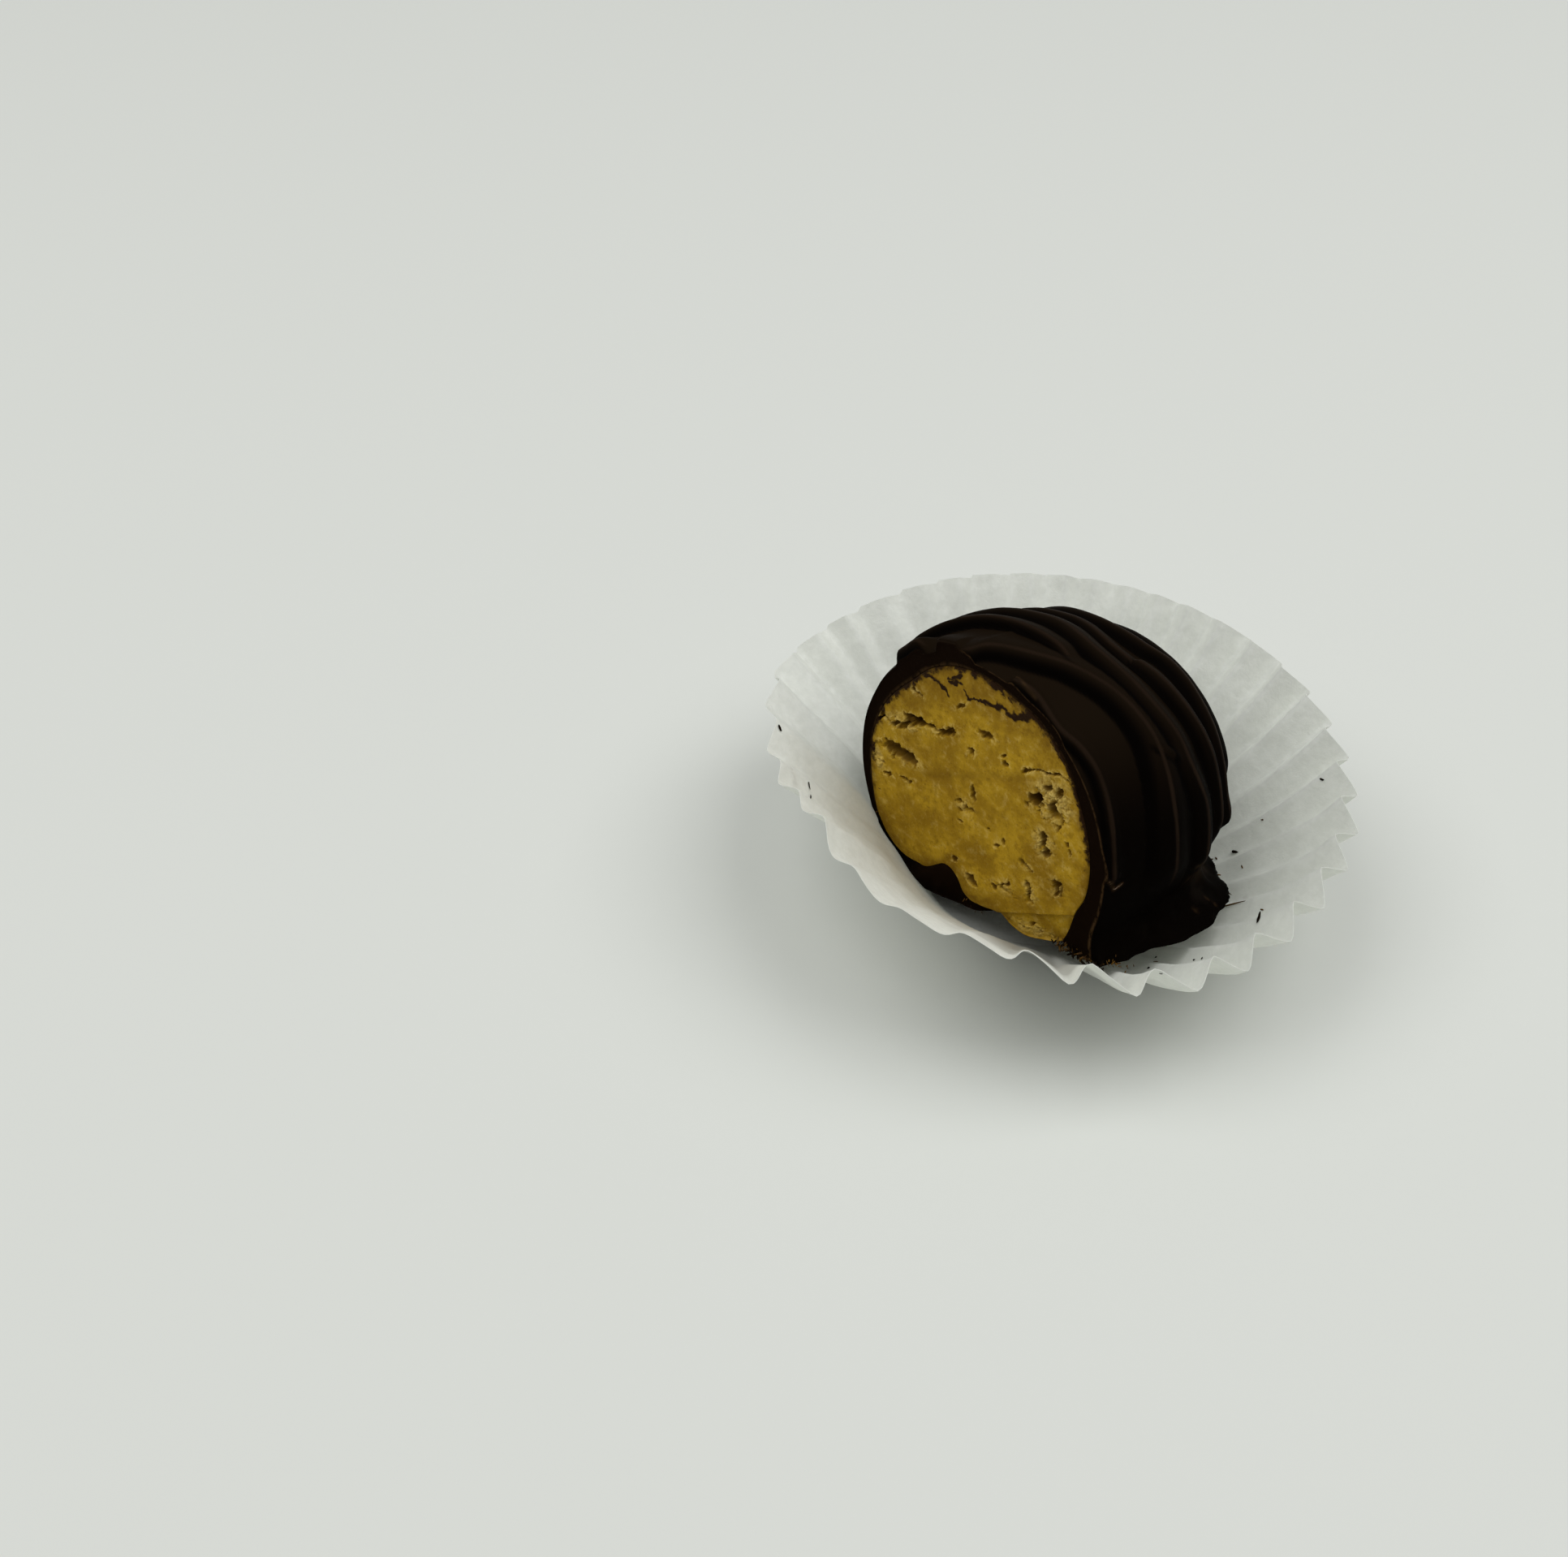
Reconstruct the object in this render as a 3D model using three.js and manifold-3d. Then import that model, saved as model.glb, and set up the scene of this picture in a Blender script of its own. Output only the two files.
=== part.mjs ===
// A buckeye candy: a ball of peanut filling dipped in dark chocolate and drizzled with more of it,
// cut across so that the filling shows, and set a little askew in its fluted paper case.
// Millimetres, +Z up. The origin is the middle of the case's underside, and the cut faces -Y.

import * as THREE from 'three';
import { mergeVertices } from 'three/addons/utils/BufferGeometryUtils.js';
import Module from 'manifold-3d';

const { degToRad, lerp, smoothstep } = THREE.MathUtils;

// Where the candy sits. Its own axes run x right along the cut, y back from the cut and z up from the base.
const BALL_CENTRE = new THREE.Vector3(1.9, -4.25, 14.5);
const TIP_BACK = degToRad(4.2);        // the cut leans back
const ROLL = degToRad(14.5);           // the foot's right side rides up on the case's wall

// Chocolate ball, its cut and its base
const BALL_RADIUS = 17.4;
const BACK_STRETCH = 1.8;              // extra reach straight back from the cut
const SAG = 1.5;                       // how far the ball has sunk behind the cut
const TUCK = 0.9;                      // how far its left side draws in
const CUT_DEPTH = 6.84;                // from the ball's middle forward to the cut
const BASE_DROP = 11.4;                // from the ball's middle down to the flat base
const BALL_SEGMENTS = 84;
const BALL_ROWS = 25;
const FOOT_ROWS = 5;

// Foot: chocolate that ran down and set as a flare round the base, widest on the right
const FOOT_DROP = 7.0;                 // from the ball's middle down to where the flare starts
const FOOT_FLARE = 1.5;                // power of the flare's curve
const FOOT_MEAN = 1.0;
const FOOT_LEAN = 3.0;
const FOOT_SIDE = degToRad(20);        // turn from x towards y of the widest side
const FOOT_LUMP = 1.3;
const FOOT_LUMP_SPREAD = degToRad(14);

// Drizzle: ridges round the ball. A line's points give degrees round from the top, towards the right, and
// millimetres back from the middle.
const DRIZZLE_FADE = degToRad(9);      // length over which a ridge's ends sink into the ball
const DRIZZLE = [
  { height: 0.4, width: 0.9, line: [[12, -6.4], [30, -5.9], [60, -5.9], [85, -6.0], [104, -5.6]] },
  { height: 0.9, width: 1.3, line: [[-24, -7.2], [-5, -6.7], [13, -5.0], [24, -3.3], [32, -1.9]] },
  { height: 0.9, width: 1.4, line: [[-78, -6.6], [-45, -5.9], [-19, -4.4], [-8, -2.4], [4, -1.4], [24, -1.8],
    [45, -0.5], [61, 1.1], [74, 0.4], [90, 0.7], [112, 0.6]] },
  { height: 0.9, width: 1.4, line: [[-104, -3.4], [-60, -2.4], [-25, -0.4], [0, 1.7], [23, 4.4], [36, 4.7],
    [48, 3.9], [66, 4.1], [82, 4.9], [100, 5.4]] },
  { height: 0.85, width: 1.3, line: [[26, 4.9], [44, 6.8], [60, 8.3], [74, 9.1], [94, 9.6]] },
  { height: 0.85, width: 1.4, line: [[-112, 2.2], [-70, 3.6], [-30, 5.6], [5, 8.2], [39, 10.2], [58, 11.6],
    [74, 12.2], [98, 12.0]] },
  { height: 0.8, width: 1.4, line: [[-108, 7.4], [-66, 9.2], [-20, 11.6], [24, 13.2], [60, 14.6]] },
];
const LINK = { height: 0.8, width: 1.1, line: [[60, 1.2], [63, 2.0], [66, 3.0], [68, 4.0]] };

// Filling, which shows at the cut and at a broken stretch of the base
const FILL_RADIUS = 16.1;
const FILL_SHIFT = new THREE.Vector3(-0.3, 0.25, 0.3);
const FILL_BASE_DROP = 10.3;
const FILL_SEGMENTS = 60;
const FILL_ROWS = 15;
const FILL_FOOT_ROWS = 2;
const SEAM_GAP = 0.3;                  // between the filling and the coating round it
const BULGE = { at: [4.9, -CUT_DEPTH, -9.4], half: [5.8, 3.2, 2.4] };      // bare crumb under the cut
const DROP_LUMP = { at: [-5.6, -CUT_DEPTH, -11.0], half: [4.6, 2.6, 3.4] };  // chocolate set under the cut's left
const LUMP_DETAIL = 2;

// Pits in the cut: place to the right and up from the ball's middle, half length and width, depth, turn
const PIT_DETAIL = 1;
const PITS = [
  { at: [-7.9, 7.4], half: [1.3, 0.5], depth: 1.3, turn: -35 },
  { at: [-10.1, 3.5], half: [1.6, 0.9], depth: 1.2, turn: -30 },
  { at: [-3.3, 7.4], half: [1.0, 0.4], depth: 0.7, turn: -20 },
  { at: [2.1, 8.9], half: [0.7, 0.4], depth: 0.6, turn: -25 },
  { at: [8.0, 4.2], half: [1.2, 0.9], depth: 1.1, turn: 40 },
  { at: [9.6, 2.4], half: [0.9, 0.6], depth: 0.7, turn: 70 },
  { at: [8.2, -0.8], half: [1.5, 0.7], depth: 0.9, turn: 80 },
  { at: [-1.3, -7.5], half: [0.8, 0.5], depth: 0.7, turn: 50 },
  { at: [1.5, -7.8], half: [0.6, 0.5], depth: 0.9, turn: 0 },
  { at: [10.0, -4.8], half: [0.9, 0.5], depth: 0.8, turn: 75 },
];

// Paper case: a flat base and a pleated wall that curls outwards
const PAPER = 0.4;
const CASE_BASE_RADIUS = 11.5;
const WALL_LENGTH = 23.2;
const WALL_ROWS = 5;
const PLEATS = 36;
const PLEAT_HALF = 1.0;                // half the pleats' depth at the rim
const PLEAT_GROWTH = 1.2;              // power by which the pleats deepen up the wall
const FLARE = degToRad(49.5);          // mean slope of the wall
const CURL = degToRad(4);              // steeper than that at the base, flatter at the rim
// Stretches where the wall leans: turn about Z, spread, how much steeper it stands, and its added curl.
// The first is pressed down by the foot, so it lies flat there and turns up beyond.
const LEANS = [
  { at: degToRad(335), spread: degToRad(32), rise: degToRad(-12.5), curl: degToRad(-14) },
  { at: degToRad(25), spread: degToRad(42), rise: degToRad(-11), curl: 0 },
  { at: degToRad(195), spread: degToRad(18), rise: degToRad(-10), curl: 0 },
  { at: degToRad(228), spread: degToRad(22), rise: degToRad(3), curl: 0 },
  { at: degToRad(272), spread: degToRad(30), rise: degToRad(-2.5), curl: 0 },
];
const SPREAD = 0.23;                   // pleats are pulled wider apart in front, closer behind
const SPREAD_AT = degToRad(282);
const REST_GAP = 0.3;                  // between the candy and the paper under it

const PAPER_FINISH = { color: 0xe6e9e2, roughness: 0.75, metalness: 0 };
const CHOCOLATE_FINISH = { color: 0x2a1b10, roughness: 0.42, metalness: 0 };
const FILLING_FINISH = { color: 0xb18a3a, roughness: 0.85, metalness: 0 };

const WELD = 1e-4;                     // points closer than this are one

const wasm = await Module();
wasm.setup();

// Closed geometry to solid and back

function toSolid(geometry) {
  const bare = geometry.clone();
  bare.deleteAttribute('normal');
  bare.deleteAttribute('uv');
  const welded = mergeVertices(bare, WELD);
  const index = welded.index.array;
  const corners = [];
  for (let i = 0; i < index.length; i += 3) {
    const [a, b, c] = [index[i], index[i + 1], index[i + 2]];
    if (a !== b && b !== c && c !== a) corners.push(a, b, c);
  }
  return new wasm.Manifold(new wasm.Mesh({
    numProp: 3,
    vertProperties: new Float32Array(welded.attributes.position.array),
    triVerts: new Uint32Array(corners),
  }));
}

function toGeometry(solid) {
  const mesh = solid.getMesh();
  const geometry = new THREE.BufferGeometry();
  geometry.setAttribute('position', new THREE.BufferAttribute(new Float32Array(mesh.vertProperties), 3));
  geometry.setIndex(new THREE.BufferAttribute(new Uint32Array(mesh.triVerts), 1));
  geometry.computeVertexNormals();
  return geometry;
}

// Turns a profile about Z, then moves each vertex to where place(turn, row) puts it.
function turnedShape(profile, segments, place) {
  const geometry = new THREE.LatheGeometry(profile, segments);
  const position = geometry.attributes.position;
  for (let i = 0; i <= segments; i += 1) {
    const turn = (i % segments) / segments * 2 * Math.PI;
    for (let row = 0; row < profile.length; row += 1) {
      const point = place(turn, row);
      position.setXYZ(i * profile.length + row, point.x, point.y, point.z);
    }
  }
  return geometry;
}

function ellipsoid({ at, half }, grow = 0) {
  const geometry = new THREE.IcosahedronGeometry(1, LUMP_DETAIL);
  geometry.scale(half[0] + grow, half[1] + grow, half[2] + grow);
  geometry.translate(at[0], at[1], at[2]);
  return geometry;
}

// Candy

// Smooth curve through a ridge's points: how far back the ridge runs at a turn round the ball.
function ridgeBack(line, degrees) {
  const last = line.length - 1;
  let i = 0;
  while (i < last - 1 && degrees > line[i + 1][0]) i += 1;
  const slope = (k) => {
    const from = line[Math.max(k - 1, 0)];
    const to = line[Math.min(k + 1, last)];
    return (to[1] - from[1]) / (to[0] - from[0]);
  };
  const span = line[i + 1][0] - line[i][0];
  const t = THREE.MathUtils.clamp((degrees - line[i][0]) / span, 0, 1);
  const rise = line[i][1] * (1 + 2 * t) * (1 - t) ** 2 + line[i + 1][1] * t * t * (3 - 2 * t);
  return rise + span * t * (1 - t) * (slope(i) * (1 - t) - slope(i + 1) * t);
}

function ridgeHeight(ridge, round, back) {
  const first = degToRad(ridge.line[0][0]);
  const end = degToRad(ridge.line[ridge.line.length - 1][0]);
  const fade = smoothstep(round, first - DRIZZLE_FADE, first + DRIZZLE_FADE)
    * (1 - smoothstep(round, end - DRIZZLE_FADE, end + DRIZZLE_FADE));
  if (fade === 0) return 0;
  const away = (back - ridgeBack(ridge.line, THREE.MathUtils.radToDeg(round))) / ridge.width;
  return ridge.height * fade * Math.exp(-away * away);
}

function drizzleHeight(point) {
  const round = Math.atan2(point.x, point.z);
  let height = 0;
  for (const ridge of [...DRIZZLE, LINK]) height = Math.max(height, ridgeHeight(ridge, round, point.y));
  return height;
}

function footReach(turn) {
  const away = Math.atan2(Math.sin(turn - FOOT_SIDE), Math.cos(turn - FOOT_SIDE));
  const lump = FOOT_LUMP * Math.exp(-((away / FOOT_LUMP_SPREAD) ** 2));
  return FOOT_MEAN + FOOT_LEAN * Math.cos(away) + lump;
}

// Behind the cut and above its base the ball has sunk under its own weight, and its left side has drawn in.
function sagged(point) {
  const rise = smoothstep(point.z, -BASE_DROP, 0);
  const left = Math.max(-point.x, 0) / BALL_RADIUS;
  point.x += TUCK * rise * left * smoothstep(point.y, -CUT_DEPTH, -CUT_DEPTH / 2);
  point.z -= SAG * rise * smoothstep(point.y, -CUT_DEPTH, CUT_DEPTH);
  return point;
}

// Half outline of a ball with a flat base: from the base's middle out to its edge, then up to the top.
function ballProfile(radius, baseDrop, flareDrop, flareRows, ballRows) {
  const profile = [new THREE.Vector2(0, -baseDrop)];
  for (let i = 0; i <= flareRows; i += 1) {
    const z = -lerp(baseDrop, flareDrop, i / flareRows);
    profile.push(new THREE.Vector2(Math.sqrt(radius * radius - z * z), z));
  }
  const start = Math.acos(-flareDrop / radius);
  for (let i = 1; i < ballRows; i += 1) {
    const down = start * (1 - i / ballRows);
    profile.push(new THREE.Vector2(radius * Math.sin(down), radius * Math.cos(down)));
  }
  profile.push(new THREE.Vector2(0, radius));
  return profile;
}

function chocolateBall() {
  const profile = ballProfile(BALL_RADIUS, BASE_DROP, FOOT_DROP, FOOT_ROWS, BALL_ROWS);
  return turnedShape(profile, BALL_SEGMENTS, (turn, row) => {
    const { x: radius, y: z } = profile[row];
    const flare = Math.max(-FOOT_DROP - z, 0) / (BASE_DROP - FOOT_DROP);
    const reach = row === 0 ? 0 : radius + footReach(turn) * flare ** FOOT_FLARE;
    const point = new THREE.Vector3(reach * Math.cos(turn), reach * Math.sin(turn), z);
    const bump = row === 0 ? 0 : drizzleHeight(point) * (1 - flare);
    point.addScaledVector(point.clone().normalize(), bump);
    if (point.y > 0) point.y *= 1 + BACK_STRETCH / BALL_RADIUS;
    return sagged(point);
  });
}

function fillingBall(grow) {
  const radius = FILL_RADIUS + grow;
  const profile = ballProfile(radius, FILL_BASE_DROP + grow, FOOT_DROP, FILL_FOOT_ROWS, FILL_ROWS);
  return turnedShape(profile, FILL_SEGMENTS, (turn, row) => {
    const { x: reach, y: z } = profile[row];
    const drop = row <= 1 ? 0 : FILL_SHIFT.z;
    return sagged(new THREE.Vector3(
      reach * Math.cos(turn) + FILL_SHIFT.x,
      reach * Math.sin(turn) + FILL_SHIFT.y,
      z + drop,
    ));
  });
}

function knife() {
  const size = 4 * BALL_RADIUS;
  return new THREE.BoxGeometry(size, size, size).translate(0, -CUT_DEPTH - size / 2, 0);
}

function pit({ at, half, depth, turn }) {
  const geometry = new THREE.IcosahedronGeometry(1, PIT_DETAIL);
  geometry.scale(half[0], depth, half[1]);
  geometry.rotateY(-degToRad(turn));
  return geometry.translate(at[0], -CUT_DEPTH, at[1]);
}

// Paper case

function wallLean(turn) {
  const lean = { slope: FLARE, curl: CURL };
  for (const { at, spread, rise, curl } of LEANS) {
    const away = Math.atan2(Math.sin(turn - at), Math.cos(turn - at)) / spread;
    const share = Math.exp(-away * away);
    lean.slope += rise * share;
    lean.curl += curl * share;
  }
  return lean;
}

// Point of the wall at an even turn of the pleats: up is 0 at the base and 1 at the rim, lift is off the
// outer face, and wave is 1 on a pleat's outer fold and -1 on an inner one.
function wallPoint(evenTurn, up, lift, wave) {
  const turn = evenTurn + SPREAD * Math.sin(evenTurn - SPREAD_AT);
  const { slope, curl } = wallLean(turn);
  const here = slope + curl * (1 - 2 * up);
  const chord = slope + curl * (1 - up);
  const run = WALL_LENGTH * up;
  const out = lift - wave * PLEAT_HALF * up ** PLEAT_GROWTH;
  const radius = CASE_BASE_RADIUS + run * Math.cos(chord) - out * Math.sin(here);
  const height = run * Math.sin(chord) + out * Math.cos(here);
  return new THREE.Vector3(radius * Math.cos(turn), radius * Math.sin(turn), height);
}

// Each row of the case's section: how far up the wall, and the lift off the outer face.
function caseRows(lift) {
  const rows = [];
  for (let i = 1; i <= WALL_ROWS; i += 1) rows.push({ up: i / WALL_ROWS, lift });
  return rows;
}

function caseShape() {
  const edge = { radius: CASE_BASE_RADIUS };
  const rows = [
    { radius: 0, z: 0 },
    { ...edge, z: 0 },
    ...caseRows(0),
    ...caseRows(PAPER).reverse(),
    { ...edge, z: PAPER },
    { radius: 0, z: PAPER },
  ];
  const profile = rows.map((row, i) => new THREE.Vector2(row.radius ?? CASE_BASE_RADIUS, i));
  return turnedShape(profile, 2 * PLEATS, (turn, i) => {
    const row = rows[i];
    if (row.up === undefined) {
      const away = turn + SPREAD * Math.sin(turn - SPREAD_AT);
      return new THREE.Vector3(row.radius * Math.cos(away), row.radius * Math.sin(away), row.z);
    }
    const wave = Math.cos(turn * PLEATS) > 0 ? 1 : -1;
    return wallPoint(turn, row.up, row.lift, wave);
  });
}

// Everything lower than a smooth bowl just above the paper, which the candy's underside stays clear of.
function belowCandy() {
  const skirt = 2 * WALL_LENGTH + CASE_BASE_RADIUS;
  const lift = PAPER + REST_GAP;
  const rows = [
    { radius: 0, z: -WALL_LENGTH },
    { radius: skirt, z: -WALL_LENGTH },
    ...caseRows(lift).reverse(),
    { radius: CASE_BASE_RADIUS, z: lift },
    { radius: 0, z: lift },
  ];
  const profile = rows.map((row, i) => new THREE.Vector2(row.radius ?? CASE_BASE_RADIUS, i));
  return turnedShape(profile, 2 * PLEATS, (turn, i) => {
    const row = rows[i];
    if (row.up === undefined) {
      return new THREE.Vector3(row.radius * Math.cos(turn), row.radius * Math.sin(turn), row.z);
    }
    return wallPoint(turn, row.up, row.lift, -1);
  });
}

// Assembly

function named(name, geometry, finish) {
  const mesh = new THREE.Mesh(geometry, new THREE.MeshStandardMaterial(finish));
  mesh.name = name;
  return mesh;
}

const candy = new THREE.Group();
candy.position.copy(BALL_CENTRE);
candy.rotation.set(-TIP_BACK, -ROLL, 0);
candy.updateMatrix();

const cutAway = toSolid(knife());
const bed = toSolid(belowCandy().applyMatrix4(candy.matrix.clone().invert()));
const lump = toSolid(ellipsoid(DROP_LUMP));
const lumpHollow = toSolid(ellipsoid(DROP_LUMP, SEAM_GAP));
const hollow = toSolid(fillingBall(SEAM_GAP)).add(toSolid(ellipsoid(BULGE, SEAM_GAP)));

const coating = toSolid(chocolateBall()).subtract(hollow).add(lump).subtract(cutAway).subtract(bed);
let filling = toSolid(fillingBall(0)).add(toSolid(ellipsoid(BULGE)));
for (const away of [lumpHollow, cutAway, bed]) filling = filling.subtract(away);
for (const place of PITS) filling = filling.subtract(toSolid(pit(place)));

candy.add(named('chocolate_coating', toGeometry(coating), CHOCOLATE_FINISH));
candy.add(named('peanut_filling', toGeometry(filling), FILLING_FINISH));

const buckeye = new THREE.Group();
buckeye.add(named('paper_case', toGeometry(toSolid(caseShape())), PAPER_FINISH));
buckeye.add(candy);

export default buckeye;
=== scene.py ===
"""Looks of a cut buckeye candy in its fluted paper case.

The candy is a ball of peanut filling, dipped in dark chocolate, drizzled with more of it and cut across.
Shapes are worked out in millimetres, the candy's in its own axes from the ball's middle: x right along the
cut, y back from it and z up. A finished mesh is set in its place and scaled to metres.
"""
import math
import random

import bmesh
import bpy
import numpy as np
from bpy.props import FloatProperty, FloatVectorProperty, IntProperty, PointerProperty
from mathutils import Euler, Matrix, Vector, noise
from mathutils.bvhtree import BVHTree


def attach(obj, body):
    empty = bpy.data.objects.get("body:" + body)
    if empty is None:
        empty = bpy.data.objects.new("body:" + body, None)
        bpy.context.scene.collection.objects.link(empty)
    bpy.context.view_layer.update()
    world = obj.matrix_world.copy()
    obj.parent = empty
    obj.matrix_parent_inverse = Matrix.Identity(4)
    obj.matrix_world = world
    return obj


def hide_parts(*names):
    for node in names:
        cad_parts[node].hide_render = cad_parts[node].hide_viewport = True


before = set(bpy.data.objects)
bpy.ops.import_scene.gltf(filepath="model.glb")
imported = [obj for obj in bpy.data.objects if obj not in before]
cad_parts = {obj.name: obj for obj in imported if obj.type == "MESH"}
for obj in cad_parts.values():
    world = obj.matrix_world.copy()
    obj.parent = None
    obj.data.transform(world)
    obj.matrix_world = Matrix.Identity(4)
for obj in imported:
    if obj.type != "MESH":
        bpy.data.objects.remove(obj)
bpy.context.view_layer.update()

bl_info = {
    "name": "Cut buckeye candy",
    "version": (1, 0, 0),
    "blender": (4, 5, 0),
    "location": "View3D > Sidebar > Buckeye",
    "description": "Builds a cut chocolate candy with its peanut filling, in a fluted paper case",
    "category": "Add Mesh",
}

MM = 0.001
OVERHEAD = 60.0  # a height above all of the candy, in millimetres
BODY = "root"

# The photograph's frame and its camera's focal length, in its pixels
PICTURE = (1932, 1918)
FOCAL_PIXELS = 2900.0
SENSOR = 36.0
NEAREST = 0.005  # what is nearer to the camera isn't drawn, in metres

# Stage, in metres
FLOOR_HALF = 1.5
FLOOR_STEPS = 8
RIGHT_LIGHT = (0.297, 0.338, 0.779)
LEFT_LIGHT = (-0.297, -0.338, 0.779)
LIGHT_SIZE = 0.7


def stretch(at, spread, **more):
    """A stretch round the candy or its case: middle and spread in degrees, and what is special there."""
    return {"at": math.radians(at), "spread": math.radians(spread), **more}


# Chocolate coating
ROUND_STEPS = 480
BACK_STEPS = 250
FOOT_FLARE = 2.2  # power of the foot's curve
FOOT_SIDE = 20  # degrees from x towards y of the foot's widest place
FOOT_LUMP = stretch(FOOT_SIDE, 14)
FOOT_ROUGH = stretch(FOOT_SIDE, 44)  # here the foot is lumpy
# Unevenness as layers of noise: size of the bumps, their height and a seed
COATING_DENTS = ((5.0, 0.09, 2.0), (1.6, 0.027, 5.0))
FOOT_LUMPS = ((2.6, 1.0, 9.0), (1.3, 0.2, 11.0))
CREST_LINE = 0.24  # half width of the painted highlight along the crest
CREASE = 0.35  # width of the shade at the foot of a ridge
DRIP_SWELL = 0.3  # share by which a ridge swells before a blunt end
MERGE, DRIP, TIP = 9.0, 2.5, 2.0  # degrees over which a ridge's end sinks: soft, blunt or sharp
LOW_SHADE = {"most": 0.92, "top": 13.5, "full": 1.0}  # painted shade: the coating is painted darker down from top to full
PAPER_GAP = 0.12  # between the coating and the paper under it


def ridge(height, line, flank, back, start=MERGE, end=MERGE, highlight=1.0):
    """One ridge of drizzle. Its line gives degrees round from the top, to the right, and millimetres back.

    Flank is the width of its steep side, towards the cut, at both ends, and back that of the other side.
    Start and end say how its ends sink, and the last how strong the painted highlight along its crest is.
    """
    return {"height": height, "line": line, "flank": flank, "back": back,
            "start": start, "end": end, "highlight": highlight}


DRIZZLE = [
    ridge(0.6, [(20, -6.45), (28, -6.05), (42, -6.45), (51, -5.8), (60, -5.5), (75, -5.8), (91, -6.25),
                (97, -6.3)], (0.9, 0.7), 0.55, 1.2, DRIP),
    ridge(1.0, [(-14, -9.0), (1, -6.3), (5, -5.1), (18, -3.35), (29, -1.3), (41, 0.4), (55, 1.25),
                (65, 1.0), (83, 0.4), (104, 0.2)], (0.8, 3.2), 2.6),
    ridge(1.45, [(-13, -6.8), (-8, -6.8), (-2.5, -6.8)], (0.6, 0.6), 2.4, 1.5, 1.0),
    ridge(1.0, [(-36, -6.2), (-30, -6.1), (-25, -6.1), (-20, -6.2)], (0.9, 0.9), 1.1, DRIP, DRIP),
    ridge(1.4, [(-124, -6.9), (-120.5, -6.9), (-117, -6.9)], (0.6, 0.6), 1.4, DRIP, DRIP),
    ridge(1.1, [(-43, -4.1), (-30, -2.9), (-17, -1.6), (0, -0.7), (15, -0.45), (27, -1.0)],
          (1.1, 0.8), 2.2),
    ridge(1.15, [(-47, -0.8), (-36, 0.1), (-25, 1.0), (-7, 2.1), (8, 2.75), (25, 2.2), (40, 2.7),
                 (57, 3.8), (67, 3.9), (82, 4.7), (97, 4.4), (106, 4.3)], (1.3, 2.0), 1.9),
    ridge(1.1, [(57, 1.1), (60, 1.6), (64, 2.8), (68, 3.9)], (1.0, 1.0), 1.5, 4.0, 4.0, 0.25),
    ridge(0.9, [(-40, 4.25), (-35, 4.55), (-30, 4.8), (5, 5.5), (22, 4.7), (32, 4.9)],
          (1.1, 0.9), 1.5, MERGE, TIP),
    ridge(1.0, [(30, 5.4), (38, 6.3), (53, 7.4), (70, 7.85), (88, 7.6), (100, 7.4)], (1.3, 1.4), 1.6, TIP),
    ridge(1.05, [(-110, 5.6), (-66, 7.4), (-20, 8.0), (10, 7.9), (25, 8.8), (33, 10.1), (54, 10.5),
                 (74, 9.8), (98, 8.6)], (1.2, 1.2), 1.7, MERGE, DRIP),
    ridge(0.9, [(-108, 9.6), (-66, 11.2), (-20, 11.9), (24, 12.6), (60, 13.6), (92, 13.0)],
          (1.3, 1.3), 1.8),
]

# Cut: the filling's edge as degrees round from the top, to the right, and millimetres from the ball's middle.
# The dip near -146 degrees is where set chocolate stands over the filling.
FILLING_EDGE = [
    (-176, 10.7), (-168, 10.8), (-162, 10.35), (-157, 9.5), (-152, 9.1), (-146, 9.15), (-142, 9.8),
    (-137, 12.1), (-133, 12.9), (-128, 14.0), (-122, 14.85), (-115, 15.3), (-108, 15.5), (-98, 15.2),
    (-62, 14.6), (-34, 14.1), (-19, 14.7), (-4, 15.1), (12, 15.2), (24, 15.1), (36, 15.35), (56, 15.0),
    (67, 14.5), (86, 14.3), (109, 14.1), (120, 13.75), (137, 14.4), (149, 13.5), (159, 12.8), (166, 11.8),
    (172, 10.7),
]
BAND_ROWS = (0.04, 0.1, 0.2, 0.35, 0.5, 0.65, 0.8, 0.92, 1.0)  # from the coating's outside to the filling
RECESS_ROW = 2.0  # one more, at the back of the coating's hollow
RECESS = 2.5  # how far the coating's hollow runs back behind the filling's face
LIP = 0.12  # height of the fine edge that the knife left round the coating
LIP_SHARE = 0.09  # its width as a share of the band
UNDERLAP = 0.08  # how far the filling's edge laps over the band
BAND_INSIDE = 0.985  # the band's inner edge is at most this share of the way out
BAND_ROUGH = ((0.9, 0.05, 4.0), (0.35, 0.03, 6.0))
SET_LUMP = stretch(-145, 13, height=0.9)
SHADED = stretch(-122, 15)  # painted shade: the coating's cut band is painted black here
LIP_SIDE = stretch(161, 22, back=1.9, outside=9.0)  # here the filling hides the coating

# Peanut filling
FACE_STEPS = 286
FACE_PROUD = 0.06  # how far the filling stands proud of the coating's cut band
GRAIN = 0.6  # size of its crumbs
FINE_GRAIN = 0.3  # and of the smallest
# Layers of noise that make the marks on its face ragged, and its face wavy
RAGGED_X = ((0.9, 0.35, 12.0), (0.3, 0.16, 13.0))
RAGGED_Z = ((0.9, 0.35, 14.0), (0.3, 0.16, 15.0))
FACE_WAVES = ((3.2, 0.07, 3.0), (0.3, 0.015, 7.0))
STEP_LINE = ((1.3, -10.5), (11.6, -7.05))  # below it the filling's face steps back
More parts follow.
